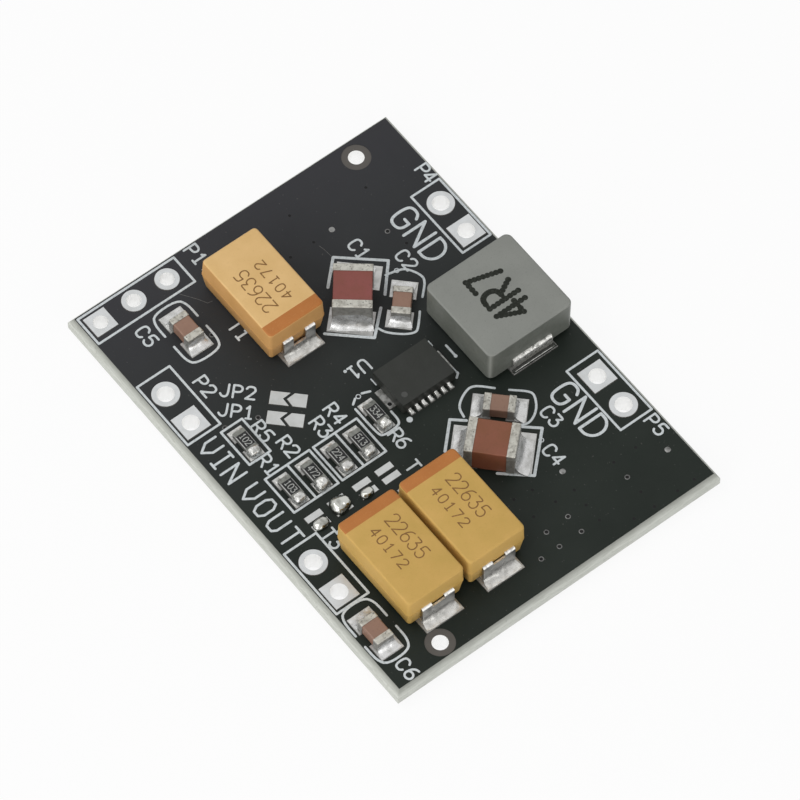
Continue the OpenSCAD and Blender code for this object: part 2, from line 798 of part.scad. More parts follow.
module resistor_block() {
    translate([-resistor_l / 2 + plate_t, -resistor_w / 2, plate_t])
        cube([resistor_l - 2 * plate_t, resistor_w, resistor_h - 2 * plate_t]);
}

module resistor_substrate(i) {
    color("white") on_chip(resistors[i]) resistor_block();
}

module resistor_ends(i) {
    color("silver") on_chip(resistors[i]) difference() {
        for (s = [-1, 1]) translate([s * (resistor_l - resistor_band) / 2, 0, resistor_h / 2])
            cube([resistor_band, resistor_w, resistor_h], center = true);
        resistor_block();
    }
}

module resistor_overcoats() {
    coat_l = resistor_l - 2 * resistor_band;
    coat_w = resistor_w - 2 * resistor_coat_inset;
    color([0.1, 0.1, 0.1]) for (p = resistors) on_chip(p)
        translate([-coat_l / 2, -coat_w / 2, resistor_h - plate_t]) cube([coat_l, coat_w, plate_t]);
}

module resistor_solder() {
    color("lightgray") for (p = resistors)
        chip_fillets(p, resistor_l, resistor_w, resistor_toe, resistor_climb);
}

module jumper_solder() {
    color("lightgray") for (b = select_beads)
        translate([b[0], b[1], land_top]) solder_bead(b[2], b[3], b[4]);
}

board_laminate();
top_solder_mask();
bottom_solder_mask();
plated_holes(input_pins);  // input_terminal_holes
plated_holes(input_ground_pins);  // input_ground_holes
plated_holes(output_pins);  // output_terminal_holes
plated_holes(output_ground_pins);  // output_ground_holes
plated_holes(control_pins);  // control_header_holes
power_lands();
capacitor_lands();
resistor_lands();
converter_lands();
jumper_lands();
tantalum_solder();
inductor_solder();
capacitor_solder();
resistor_solder();
converter_solder();
jumper_solder();
tantalum_case(0);  // tantalum_1_case
tantalum_anode_lead(0);  // tantalum_1_anode_lead
tantalum_cathode_lead(0);  // tantalum_1_cathode_lead
tantalum_case(1);  // tantalum_2_case
tantalum_anode_lead(1);  // tantalum_2_anode_lead
tantalum_cathode_lead(1);  // tantalum_2_cathode_lead
tantalum_case(2);  // tantalum_3_case
tantalum_anode_lead(2);  // tantalum_3_anode_lead
tantalum_cathode_lead(2);  // tantalum_3_cathode_lead
inductor_core();
inductor_rear_lead();
inductor_front_lead();
converter_case();
converter_leads();
converter_thermal_pad();
large_cap_ceramic(0);  // large_cap_1_ceramic
large_cap_ends(0);  // large_cap_1_ends
large_cap_ceramic(1);  // large_cap_2_ceramic
large_cap_ends(1);  // large_cap_2_ends
small_cap_ceramic(0);  // small_cap_1_ceramic
small_cap_ends(0);  // small_cap_1_ends
small_cap_ceramic(1);  // small_cap_2_ceramic
small_cap_ends(1);  // small_cap_2_ends
small_cap_ceramic(2);  // small_cap_3_ceramic
small_cap_ends(2);  // small_cap_3_ends
small_cap_ceramic(3);  // small_cap_4_ceramic
small_cap_ends(3);  // small_cap_4_ends
resistor_substrate(0);  // resistor_1_substrate
resistor_ends(0);  // resistor_1_ends
resistor_substrate(1);  // resistor_2_substrate
resistor_ends(1);  // resistor_2_ends
resistor_substrate(2);  // resistor_3_substrate
resistor_ends(2);  // resistor_3_ends
resistor_substrate(3);  // resistor_4_substrate
resistor_ends(3);  // resistor_4_ends
resistor_substrate(4);  // resistor_5_substrate
resistor_ends(4);  // resistor_5_ends
resistor_substrate(5);  // resistor_6_substrate
resistor_ends(5);  // resistor_6_ends
resistor_overcoats();
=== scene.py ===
"""Dressed model of a buck-boost converter module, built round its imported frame.

Lengths are in millimetres until a mesh is made. Places on the board are given as u, v: the distance from the
left edge and from the rear edge of the solder mask.
"""

import logging
import math
from dataclasses import dataclass, field, replace
from enum import Enum, IntEnum
from functools import cached_property
from typing import ClassVar

import bmesh
import bpy
from mathutils import Matrix, Vector, noise


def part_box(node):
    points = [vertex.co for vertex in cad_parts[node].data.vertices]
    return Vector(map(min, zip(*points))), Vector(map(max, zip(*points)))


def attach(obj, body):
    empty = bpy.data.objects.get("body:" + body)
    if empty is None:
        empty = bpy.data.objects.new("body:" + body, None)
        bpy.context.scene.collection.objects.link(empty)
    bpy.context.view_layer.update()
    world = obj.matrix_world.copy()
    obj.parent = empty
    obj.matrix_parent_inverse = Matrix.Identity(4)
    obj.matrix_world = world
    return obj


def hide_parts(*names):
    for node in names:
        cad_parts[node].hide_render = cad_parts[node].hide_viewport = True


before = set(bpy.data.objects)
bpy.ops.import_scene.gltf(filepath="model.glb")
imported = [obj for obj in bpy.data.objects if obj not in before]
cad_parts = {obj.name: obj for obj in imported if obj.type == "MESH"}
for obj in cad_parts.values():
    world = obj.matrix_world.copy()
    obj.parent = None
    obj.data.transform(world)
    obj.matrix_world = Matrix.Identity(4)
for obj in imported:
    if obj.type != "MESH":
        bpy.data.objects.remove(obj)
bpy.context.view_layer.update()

MM = 0.001
BODY = "root"
LOG = logging.getLogger("converter_module")
# Nearly all of a noise pattern lies in this range
NOISE_RANGE = (0.3, 0.7)
# Steps of a moulding's rounded upper edge
EDGE_STEPS = 5

Triple = tuple[float, float, float]
Colour = Triple
Point = tuple[float, float]
Edge = tuple[int, int]
Cell = list[int]
Socket = bpy.types.NodeSocket
Inputs = dict[str | int, object]


@dataclass(frozen=True)
class Placement:
    """A place on the board with a turn in degrees."""

    x: float
    y: float
    turn: float = 0.0

    def point(self, along: float, across: float) -> Vector:
        """Finds a point given in the placed thing's own axes."""
        turned = Matrix.Rotation(math.radians(self.turn), 2) @ Vector((along, across))
        return Vector((self.x, self.y)) + turned

    def at(self, along: float, across: float, z: float) -> Vector:
        """Finds a point given in the placed thing's own axes and a height."""
        return self.point(along, across).to_3d() + Vector((0, 0, z))


class NodeBox:
    """The box that a CAD node fills, in millimetres."""

    def __init__(self, node: str) -> None:
        """Reads the node's box from the frame.

        Args:
            node: Name of the node.
        """
        low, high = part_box(node)
        self.low = low / MM
        self.high = high / MM
        self.middle = (self.low + self.high) / 2

    def ends(self, out: float = 0.0, shift: float = 0.0) -> tuple[Placement, Placement]:
        """Finds the places at the rear and the front end, each turned outwards.

        Args:
            out: Distance from the box.
            shift: Distance to the right of the middle.

        Returns:
            The rear place and the front one.
        """
        x = self.middle.x + shift
        return Placement(x, self.high.y + out, 90.0), Placement(x, self.low.y - out, -90.0)

    def ring(self, inset: float, radius: float, z: float, steps: int) -> list[Vector]:
        """Finds a level outline with round corners.

        Args:
            inset: How far it lies inside the box.
            radius: Radius of its corners.
            z: Its height.
            steps: Points along each corner.

        Returns:
            The outline's points.
        """
        half = (self.high - self.low) / 2
        points = []
        for quarter, (right, rear) in enumerate(((1, 1), (-1, 1), (-1, -1), (1, -1))):
            x = self.middle.x + right * (half.x - inset - radius)
            y = self.middle.y + rear * (half.y - inset - radius)
            for k in range(steps):
                turn = math.pi / 2 * (quarter + k / (steps - 1))
                points.append(Vector((x + radius * math.cos(turn), y + radius * math.sin(turn), z)))
        return points


class BoardFace:
    """The upper face of the solder mask, which places on the board are measured from."""

    def __init__(self) -> None:
        """Reads the film's edges from the frame."""
        film = NodeBox("top_solder_mask")
        self.left = film.low.x
        self.rear = film.high.y
        self.z = film.high.z
        self.land_z = NodeBox("power_lands").high.z

    def point(self, u: float, v: float) -> Vector:
        """Turns distances from the left and rear edges into a point of the frame."""
        return Vector((self.left + u, self.rear - v))

    def points(self, places: tuple[Point, ...]) -> list[Vector]:
        """Turns several places into points of the frame."""
        return [self.point(*place) for place in places]


@dataclass(frozen=True)
class Pattern:
    """A noise pattern: its waves in a millimetre, its finer detail, and the values it is spread between."""

    per_mm: float
    detail: float
    start: float
    end: float
    low: float = 0.0
    high: float = 1.0


class NodeGraph:
    """Shader nodes of a material or of the world, with coordinates in millimetres."""

    def __init__(self, owner: bpy.types.Material | bpy.types.World) -> None:
        """Starts from the nodes that the owner is made with."""
        owner.use_nodes = True
        self.tree = owner.node_tree

    def fill(self, node: bpy.types.Node, inputs: Inputs) -> None:
        """Sets a node's inputs.

        Args:
            node: The node.
            inputs: An even value, or a socket to link, for each input.
        """
        for name, value in inputs.items():
            if isinstance(value, Socket):
                self.tree.links.new(value, node.inputs[name])
            else:
                node.inputs[name].default_value = value

    def node(self, kind: str, inputs: Inputs, output: str | int = 0, **settings: str) -> Socket:
        """Adds a node.

        Args:
            kind: Its type, without the prefix that all types have.
            inputs: An even value, or a socket to link, for each input.
            output: The output that is wanted.
            settings: The node's own settings.

        Returns:
            That output.
        """
        made = self.tree.nodes.new(f"ShaderNode{kind}")
        for name, value in settings.items():
            setattr(made, name, value)
        self.fill(made, inputs)
        return made.outputs[output]

    @cached_property
    def place(self) -> Socket:
        """The place on the piece, in millimetres."""
        place = self.node("TexCoord", {}, "Object")
        return self.node("VectorMath", {0: place, "Scale": 1 / MM}, operation="SCALE")

    def noise(self, per_mm: float, detail: float, stretch: Triple = (1, 1, 1)) -> Socket:
        """Adds noise.

        Args:
            per_mm: Waves in a millimetre.
            detail: Finer waves on top of it.
            stretch: Scale along each axis.

        Returns:
            The noise, from 0 to 1.
        """
        place = self.place
        if stretch != (1, 1, 1):
            place = self.node("VectorMath", {0: place, 1: stretch}, operation="MULTIPLY")
        return self.node("TexNoise", {"Vector": place, "Scale": per_mm, "Detail": detail}, "Fac")

    def spread(self, source: Socket, start: float, end: float, low: float = 0, high: float = 1) -> Socket:
        """Maps a value to another range, from low at the start to high at the end, and clamps it."""
        inputs = {"Value": source, "From Min": start, "From Max": end, "To Min": low, "To Max": high}
        return self.node("MapRange", inputs, "Result")

    def pattern(self, wanted: Pattern) -> Socket:
        """Adds a noise pattern and spreads it."""
        source = self.noise(wanted.per_mm, wanted.detail)
        return self.spread(source, wanted.start, wanted.end, wanted.low, wanted.high)

    def blend(self, share: Socket, first: Colour | Socket, second: Colour | Socket) -> Socket:
        """Mixes two colours, each even or a socket, by the share of the second."""
        ends = [(*end, 1) if isinstance(end, tuple) else end for end in (first, second)]
        return self.node("Mix", {0: share, 6: ends[0], 7: ends[1]}, 2, data_type="RGBA")

    def relief(self, *layers: tuple[Socket, float]) -> Socket:
        """Roughens a surface.

        Args:
            layers: Patterns, each with its depth in millimetres.

        Returns:
            The rough surface's normal.
        """
        below = {}
        for pattern, depth in layers:
            below = {"Normal": self.node("Bump", {"Height": pattern, "Distance": depth * MM, **below})}
        return below["Normal"]

    def upright_share(self, start: float, end: float) -> Socket:
        """Tells level faces, which give 1, from upright ones, which give 0, by how far up they look."""
        normal = self.node("NewGeometry", {}, "True Normal")
        return self.spread(self.node("SeparateXYZ", {0: normal}, "Z"), start, end)

    def axis_share(self, start: float, end: float, most: float, axis: str = "Z") -> Socket:
        """Tells how far along an axis a place lies, from 0 at the start to the most at the end."""
        return self.spread(self.node("SeparateXYZ", {0: self.place}, axis), start, end, 0, most)

    def stored(self, name: str) -> Socket:
        """Reads a value that the mesh's corners carry."""
        return self.node("Attribute", {}, "Fac", attribute_name=name)


@dataclass(frozen=True)
class Finish:
    """A surface finish, made once and shared by its pieces."""

    made: ClassVar[dict[str, bpy.types.Material]] = {}
    name: str

    def material(self) -> bpy.types.Material:
        """Makes the finish's material at the first call.

        Returns:
            The material.
        """
        if self.name not in self.made:
            material = bpy.data.materials.new(self.name)
            graph = NodeGraph(material)
            graph.fill(graph.tree.nodes["Principled BSDF"], self.surface(graph))
            self.made[self.name] = material
        return self.made[self.name]

    def surface(self, graph: NodeGraph) -> Inputs:
        """Gives the shader's inputs."""
        raise NotImplementedError


@dataclass(frozen=True)
class MaskFinish(Finish):
    """Black solder mask with a faint orange peel, cloudy gloss, dust, and painted light greying it towards
    the rear.
    """

    deep: Colour
    pale: Colour
    dust: Colour
    # painted light: the grey that the mask turns towards the rear, and the run of that blend
    painted_rear_light: Colour
    painted_rear_light_run: Triple = (-2.0, 16.0, 0.85)
    clouds: Pattern = Pattern(0.22, 4, 0.35, 0.68)
    specks: Pattern = Pattern(5.5, 1, 0.735, 0.79, 0, 0.5)
    sheen: Pattern = Pattern(0.8, 3, *NOISE_RANGE, 0.40, 0.56)
    gloss: float = 0.2
    peel: tuple[Point, Point] = ((2.4, 0.006), (17, 0.0012))

    def surface(self, graph: NodeGraph) -> Inputs:
        """Gives the shader's inputs.

        Args:
            graph: The material's nodes.

        Returns:
            An even value or a socket for each input.
        """
        film = graph.blend(graph.pattern(self.clouds), self.deep, self.pale)
        film = graph.blend(graph.axis_share(*self.painted_rear_light_run, "Y"), film, self.painted_rear_light)
        return {
            "Base Color": graph.blend(graph.pattern(self.specks), film, self.dust),
            "Roughness": graph.pattern(self.sheen),
            "Specular IOR Level": self.gloss,
            "Normal": graph.relief(*((graph.noise(per_mm, 2), depth) for per_mm, depth in self.peel)),
        }


@dataclass(frozen=True)
class MetalFinish(Finish):
    """Tinned or soldered metal with tarnish, dull patches and grain; its sheen is smooth to dull."""

    TARNISHED: ClassVar[Point] = (0.42, 0.72)
    SHEEN_FINENESS: ClassVar[float] = 2.2
    WAVE_FINENESS: ClassVar[float] = 0.9
    bright: Colour
    tarnish: Colour
    sheen: Point
    patch_per_mm: float = 1.6
    grain_per_mm: float = 14.0
    wave_depth: float = 0.02
    grain_depth: float = 0.004
    stretch: Triple = (1, 1, 1)
    metal: float = 1.0

    def surface(self, graph: NodeGraph) -> Inputs:
        """Gives the shader's inputs.

        Args:
            graph: The material's nodes.

        Returns:
            An even value or a socket for each input.
        """
        patches = graph.spread(graph.noise(self.patch_per_mm, 3, self.stretch), *self.TARNISHED)
        spots = graph.noise(self.patch_per_mm * self.SHEEN_FINENESS, 3)
        waves = graph.noise(self.patch_per_mm * self.WAVE_FINENESS, 1)
        grain = graph.noise(self.grain_per_mm, 3, self.stretch)
        return {
            "Base Color": self.colour(graph, graph.blend(patches, self.bright, self.tarnish)),
            "Roughness": graph.spread(spots, *NOISE_RANGE, *self.sheen),
            "Metallic": self.metal,
            "Normal": graph.relief((waves, self.wave_depth), (grain, self.grain_depth)),
        }

    def colour(self, graph: NodeGraph, patched: Socket) -> Socket:
        """Gives the metal's colour from its patches."""
        return patched


@dataclass(frozen=True)
class PlatedFinish(MetalFinish):
    """Tinned metal with painted light: the walls of a hole are painted near white, brighter than its ring.
    """

    LEVEL: ClassVar[Point] = (0.5, 0.6)
    # painted light: the near-white colour of the walls of the hole
    painted_light_wall: Colour = (0.96, 0.96, 0.95)

    def colour(self, graph: NodeGraph, patched: Socket) -> Socket:
        """Gives the ring's patched colour, and a near-white painted light on the walls."""
        return graph.blend(graph.upright_share(*self.LEVEL), self.painted_light_wall, patched)


@dataclass(frozen=True, kw_only=True)
class BentFinish(MetalFinish):
    """Tinned strip with a painted highlight on faces that look up, which brightens its upper bends."""

    LEVEL: ClassVar[Point] = (0.15, 0.6)
    HIGHLIGHT_SHARE: ClassVar[float] = 0.85
    # painted highlight: its two tones, the height it starts at on some strips, and the mottle between the
    # tones
    bend: Colour
    painted_highlight_tone: Colour
    highlight_from: Point | None = None
    highlight_mottle: Pattern = Pattern(5.5, 3, 0.5, 0.62)

    def colour(self, graph: NodeGraph, patched: Socket) -> Socket:
        """Gives the strip's colour, with a painted highlight where it looks up or lies above some height.

        Args:
            graph: The material's nodes.
            patched: Colour of the patches.

        Returns:
            The colour.
        """
        highlight = graph.blend(graph.pattern(self.highlight_mottle), self.bend, self.painted_highlight_tone)
        if self.highlight_from:
            patched = graph.blend(graph.axis_share(*self.highlight_from, self.HIGHLIGHT_SHARE), patched, highlight)
        return graph.blend(graph.upright_share(*self.LEVEL), patched, highlight)


@dataclass(frozen=True)
class SpeckledMetalFinish(MetalFinish):
    """Fired or flowed metal with dark pits, and painted shade that darkens its upright faces."""

    pit: Colour = (0.12, 0.115, 0.105)
    # painted shade: the colour of faces that look sideways, and the range of looking up from shaded to
    # unshaded
    upright: Colour = (0.27, 0.265, 0.245)
    level: Point = (0.2, 0.7)
    pits: Pattern = Pattern(7.5, 2, 0.58, 0.69, 0, 0.8)
    stains: Pattern = Pattern(3.5, 3, 0.42, 0.7, 0, 0.6)

    def colour(self, graph: NodeGraph, patched: Socket) -> Socket:
        """Gives the patched colour with the pits, and a darker painted shade where it looks sideways.

        Args:
            graph: The material's nodes.
            patched: Colour of the patches.

        Returns:
            The colour.
        """
        dull = graph.blend(graph.pattern(self.stains), self.upright, self.pit)
        pitted = graph.blend(graph.pattern(self.pits), patched, self.pit)
        return graph.blend(graph.upright_share(*self.level), dull, pitted)


@dataclass(frozen=True)
class MouldedFinish(Finish):
    """Moulded resin, fired ceramic or pressed powder with grain, clouds and specks.

    The specks are given as their share of the colour and their waves in a millimetre.
    """

    CLOUDED: ClassVar[Point] = (0.32, 0.7)
    SPECKLED: ClassVar[Point] = (0.6, 0.78)
    SHEEN_PER_MM: ClassVar[float] = 2.5
    GRAIN_PER_MM: ClassVar[float] = 16.0
    SWELL_PER_MM: ClassVar[float] = 1.5
    SWELL_DEPTH: ClassVar[float] = 2.5
    tone: Colour
    cloud: Colour
    speck: Colour
    specks: Point
    cloud_per_mm: float = 0.7
    sheen: Point = (0.45, 0.62)
    gloss: float = 0.4
    grain_depth: float = 0.004

    def surface(self, graph: NodeGraph) -> Inputs:
        """Gives the shader's inputs.

        Args:
            graph: The material's nodes.

        Returns:
            An even value or a socket for each input.
        """
        share, per_mm = self.specks
        clouds = graph.pattern(Pattern(self.cloud_per_mm, 4, *self.CLOUDED))
        specks = graph.pattern(Pattern(per_mm, 2, *self.SPECKLED, 0, share))
        moulded = graph.blend(specks, graph.blend(clouds, self.tone, self.cloud), self.speck)
        swell = graph.noise(self.SWELL_PER_MM, 2)
        grain = graph.noise(self.GRAIN_PER_MM, 3)
        return {
            "Base Color": self.colour(graph, moulded),
            "Roughness": graph.pattern(Pattern(self.SHEEN_PER_MM, 3, *NOISE_RANGE, *self.sheen)),
            "Specular IOR Level": self.gloss,
            "Normal": graph.relief((swell, self.grain_depth * self.SWELL_DEPTH), (grain, self.grain_depth)),
        }

    def colour(self, graph: NodeGraph, moulded: Socket) -> Socket:
        """Gives the moulding's colour from its grain and clouds."""
        return moulded


@dataclass(frozen=True)
class CornerHighlightFinish(MouldedFinish):
    """Pressed powder with a painted highlight along its upright corners."""

    CORNER_HIGHLIGHT: ClassVar[str] = "wear"
    # painted highlight: the colour at the corners
    painted_highlight_tone: Colour = (0.34, 0.35, 0.32)

    def colour(self, graph: NodeGraph, moulded: Socket) -> Socket:
        """Gives the moulding's colour, paler where the mesh carries the painted highlight."""
        return graph.blend(graph.stored(self.CORNER_HIGHLIGHT), moulded, self.painted_highlight_tone)


@dataclass(frozen=True)
class FootShadeFinish(MouldedFinish):
    """Fired ceramic with painted shade from its foot up to a thin top rim; the run is from unshaded to
    shaded.
    """

    # painted shade: the dark colour below the top rim, and the heights it runs between
    painted_foot_shade: Colour = (0.035, 0.035, 0.03)
    painted_foot_shade_run: Triple = (2.03, 1.95, 0.92)

    def colour(self, graph: NodeGraph, moulded: Socket) -> Socket:
        """Gives the ceramic's colour, and the painted shade below its top rim."""
        return graph.blend(graph.axis_share(*self.painted_foot_shade_run), moulded, self.painted_foot_shade)


@dataclass(frozen=True)
class InkFinish(Finish):
    """Printed ink, thin in places."""

    GRAIN_PER_MM: ClassVar[float] = 20.0
    GRAIN_DEPTH: ClassVar[float] = 0.002
    tone: Colour
    thin: Colour
    rough: float = 0.6
    gloss: float = 0.3
    wear: Pattern = Pattern(7, 4, 0.48, 0.72)

    def surface(self, graph: NodeGraph) -> Inputs:
        """Gives the shader's inputs.

        Args:
            graph: The material's nodes.

        Returns:
            An even value or a socket for each input.
        """
        return {
            "Base Color": graph.blend(graph.pattern(self.wear), self.tone, self.thin),
            "Roughness": self.rough,
            "Specular IOR Level": self.gloss,
            "Normal": graph.relief((graph.noise(self.GRAIN_PER_MM, 2), self.GRAIN_DEPTH)),
        }


@dataclass(frozen=True)
class LaminateFinish(Finish):
    """Glass-fibre laminate, pale and fibrous where snapped, with painted shade near top and bottom, dark
    where bare.
    """

    LEVEL: ClassVar[Point] = (0.75, 0.9)
    SHADE_BAND_SHARE: ClassVar[float] = 0.8
    FIBROUS: ClassVar[Point] = (0.4, 0.66)
    NICKED: ClassVar[Triple] = (0.62, 0.74, 0.4)
    snapped: Colour
    fibre: Colour
    nick: Colour
    bare: Colour
    # painted shade: the colour of the bands near the top and bottom faces
    rim: Colour
    painted_shade_bands: tuple[Point, ...]
    ply_per_mm: float = 3.2
    ply_stretch: Triple = (0.35, 0.35, 3.4)
    ply_depth: float = 0.009
    chip_per_mm: float = 3.4
    chip_depth: float = 0.016
    rough: float = 0.62
    gloss: float = 0.3

    def surface(self, graph: NodeGraph) -> Inputs:
        """Gives the shader's inputs.

        Args:
            graph: The material's nodes.

        Returns:
            An even value or a socket for each input.
        """
        plies = graph.noise(self.ply_per_mm, 3, self.ply_stretch)
        chips = graph.noise(self.chip_per_mm, 3)
        start, end, most = self.NICKED
        edge = graph.blend(graph.spread(plies, *self.FIBROUS), self.snapped, self.fibre)
        edge = graph.blend(graph.spread(chips, start, end, 0, most), edge, self.nick)
        for inner, outer in self.painted_shade_bands:
            edge = graph.blend(graph.axis_share(inner, outer, self.SHADE_BAND_SHARE), edge, self.rim)
        return {
            "Base Color": graph.blend(graph.upright_share(*self.LEVEL), edge, self.bare),
            "Roughness": self.rough,
            "Specular IOR Level": self.gloss,
            "Normal": graph.relief((chips, self.chip_depth), (plies, self.ply_depth)),
        }


MASK = MaskFinish(
    "black_solder_mask",
    deep=(0.0072, 0.0112, 0.0082),
    pale=(0.0124, 0.0172, 0.0134),
    dust=(0.085, 0.085, 0.08),
    # painted light: the mask greys towards the rear
    painted_rear_light=(0.036, 0.0355, 0.041),
)
LAMINATE = LaminateFinish(
    "glass_fibre_laminate",
    snapped=(0.635, 0.65, 0.60),
    fibre=(0.53, 0.545, 0.495),
    nick=(0.34, 0.35, 0.30),
    bare=(0.102, 0.094, 0.085),
    # painted shade: the bands' colour and the heights each runs from and to
    rim=(0.20, 0.205, 0.18),
    painted_shade_bands=((1.15, 1.58), (0.45, 0.02)),
)
# painted light: a near-white sleeve that makes the tooling holes look lit through
PAINTED_LIGHT_SLEEVE = MetalFinish(
    "tooling_hole_painted_light",
    bright=(0.98, 0.98, 0.97),
    tarnish=(0.94, 0.94, 0.93),
    sheen=(0.16, 0.26),
    wave_depth=0.004,
    grain_depth=0.001,
)
# its hole walls are painted near white as painted light
PLATED = PlatedFinish(
    "plated_hole",
    bright=(0.57, 0.585, 0.59),
    tarnish=(0.52, 0.53, 0.53),
    sheen=(0.30, 0.44),
    wave_depth=0.005,
    grain_depth=0.0015,
)
TINNED = MetalFinish(
    "tinned_face",
    bright=(0.51, 0.52, 0.515),
    tarnish=(0.45, 0.46, 0.45),
    sheen=(0.30, 0.46),
    wave_depth=0.006,
    grain_depth=0.002,
)
LAND = MetalFinish(
    "tinned_land",
    bright=(0.52, 0.52, 0.51),
    tarnish=(0.38, 0.38, 0.365),
    sheen=(0.30, 0.48),
    patch_per_mm=2.6,
    metal=0.8,
)
STAINED_LAND = MetalFinish(
    "stained_land",
    bright=(0.40, 0.40, 0.385),
    tarnish=(0.12, 0.12, 0.11),
    sheen=(0.3, 0.5),
    patch_per_mm=3.2,
    metal=0.8,
)
VIA_RIM = MetalFinish(
    "via_rim",
    bright=(0.17, 0.17, 0.165),
    tarnish=(0.07, 0.07, 0.068),
    sheen=(0.3, 0.5),
    patch_per_mm=3.0,
)
VIA_PLUG = replace(VIA_RIM, name="via_plug", bright=(0.25, 0.25, 0.245), tarnish=(0.11, 0.11, 0.105))
SOLDER = MetalFinish(
    "cooled_solder",
    bright=(0.66, 0.66, 0.655),
    tarnish=(0.44, 0.44, 0.425),
    sheen=(0.22, 0.4),
    patch_per_mm=2.2,
    grain_per_mm=9,
    wave_depth=0.05,
    grain_depth=0.006,
    metal=0.7,
)
TAB_SOLDER = SpeckledMetalFinish(
    "tab_solder",
    bright=(0.76, 0.75, 0.72),
    tarnish=(0.47, 0.46, 0.435),
    sheen=(0.22, 0.4),
    patch_per_mm=2.4,
    grain_per_mm=9,
    wave_depth=0.06,
    grain_depth=0.005,
    metal=0.7,
    pit=(0.46, 0.45, 0.425),
    # painted shade on the joints' steep faces; only faces that look well up keep the bright colour
    upright=(0.29, 0.285, 0.27),
    level=(0.68, 1.0),
)
FRESH_SOLDER = MetalFinish(
    "fresh_solder",
    bright=(0.62, 0.62, 0.60),
    tarnish=(0.30, 0.30, 0.28),
    sheen=(0.14, 0.3),
    patch_per_mm=3.2,
    grain_per_mm=7,
    wave_depth=0.06,
    grain_depth=0.035,
    metal=0.8,
)
BEAD_SOLDER = MetalFinish(
    "bright_solder",
    bright=(0.56, 0.565, 0.53),
    tarnish=(0.22, 0.22, 0.195),
    sheen=(0.08, 0.2),
    patch_per_mm=2.0,
    grain_per_mm=6,
    wave_depth=0.065,
    grain_depth=0.013,
)
LEAD = BentFinish(
    "tinned_lead",
    bright=(0.40, 0.40, 0.39),
    tarnish=(0.25, 0.25, 0.245),
    sheen=(0.26, 0.42),
    wave_depth=0.025,
    metal=0.8,
    # painted highlight on the bends at the top of the leads
    bend=(0.84, 0.83, 0.80),
    painted_highlight_tone=(0.56, 0.55, 0.53),
)
STRIP = BentFinish(
    "inductor_strip",
    bright=(0.42, 0.42, 0.39),
    tarnish=(0.20, 0.20, 0.18),
    sheen=(0.22, 0.4),
    patch_per_mm=3.4,
    grain_per_mm=7,
    grain_depth=0.035,
    stretch=(1.5, 1.5, 0.6),
    metal=0.6,
    # painted highlight on the upper bends and above a height of 2.1 mm
    bend=(0.78, 0.775, 0.74),
    painted_highlight_tone=(0.30, 0.30, 0.28),
    highlight_from=(2.1, 2.4),
)
# its upright faces take the class's painted shade
TERMINATION = SpeckledMetalFinish(
    "capacitor_end",
    bright=(0.54, 0.53, 0.475),
    tarnish=(0.32, 0.305, 0.265),
    sheen=(0.4, 0.6),
    patch_per_mm=3.2,
    grain_per_mm=11,
    wave_depth=0.03,
    grain_depth=0.012,
    metal=0.35,
)
RESISTOR_END = replace(
    TERMINATION,
    name="resistor_end",
    bright=(0.215, 0.22, 0.20),
    tarnish=(0.10, 0.105, 0.095),
    sheen=(0.36, 0.55),
    patch_per_mm=3.6,
    metal=0.5,
)
TANTALUM = MouldedFinish(
    "ochre_resin",
    tone=(0.63, 0.395, 0.118),
    cloud=(0.57, 0.365, 0.10),
    speck=(0.45, 0.26, 0.07),
    specks=(0.25, 7.0),
    gloss=0.22,
    grain_depth=0.005,
)
# painted light and shade: copies of the ochre resin for the first capacitor, a paler one for its top and a
# darker, more orange one for its sides
LIT_TOP_TANTALUM = replace(
    TANTALUM,
    name="ochre_resin_painted_light_top",
    tone=(0.80, 0.53, 0.235),
    cloud=(0.74, 0.48, 0.20),
    speck=(0.60, 0.37, 0.14),
    gloss=0.2,
)
SHADED_SIDE_TANTALUM = replace(
    LIT_TOP_TANTALUM,
    name="ochre_resin_painted_shade_side",
    tone=(0.66, 0.365, 0.135),
    cloud=(0.61, 0.335, 0.115),
    speck=(0.46, 0.24, 0.07),
)
BAND = MouldedFinish(
    "polarity_band",
    tone=(0.50, 0.19, 0.052),
    cloud=(0.46, 0.172, 0.046),
    speck=(0.60, 0.33, 0.12),
    specks=(0.3, 8.0),
    gloss=0.22,
)
IRON = MouldedFinish(
    "iron_powder_top",
    tone=(0.272, 0.280, 0.258),
    cloud=(0.245, 0.253, 0.233),
    speck=(0.18, 0.187, 0.17),
    specks=(0.5, 10.0),
    cloud_per_mm=0.5,
    sheen=(0.55, 0.7),
    gloss=0.2,
)
# painted shade: a darker copy of the top's iron powder, for the sides
SHADED_IRON_SIDE = CornerHighlightFinish(
    "iron_powder_painted_shade",
    tone=(0.158, 0.167, 0.147),
    cloud=(0.128, 0.137, 0.119),
    speck=(0.066, 0.073, 0.063),
    specks=(0.6, 8.0),
    cloud_per_mm=0.8,
    sheen=(0.34, 0.5),
)
CHIP = MouldedFinish(
    "black_resin",
    tone=(0.028, 0.030, 0.0265),
    cloud=(0.023, 0.025, 0.0215),
    speck=(0.055, 0.055, 0.051),
    specks=(0.3, 12.0),
    cloud_per_mm=0.9,
    sheen=(0.42, 0.56),
    gloss=0.25,
)
CERAMIC = MouldedFinish(
    "brown_ceramic",
    tone=(0.255, 0.076, 0.068),
    cloud=(0.22, 0.070, 0.052),
    speck=(0.14, 0.05, 0.036),
    specks=(0.4, 6.0),
    cloud_per_mm=0.9,
    sheen=(0.34, 0.5),
    gloss=0.3,
)
TAN_CERAMIC = replace(
    CERAMIC,
    name="tan_ceramic",
    tone=(0.245, 0.088, 0.052),
    cloud=(0.21, 0.080, 0.040),
    speck=(0.14, 0.055, 0.032),
)
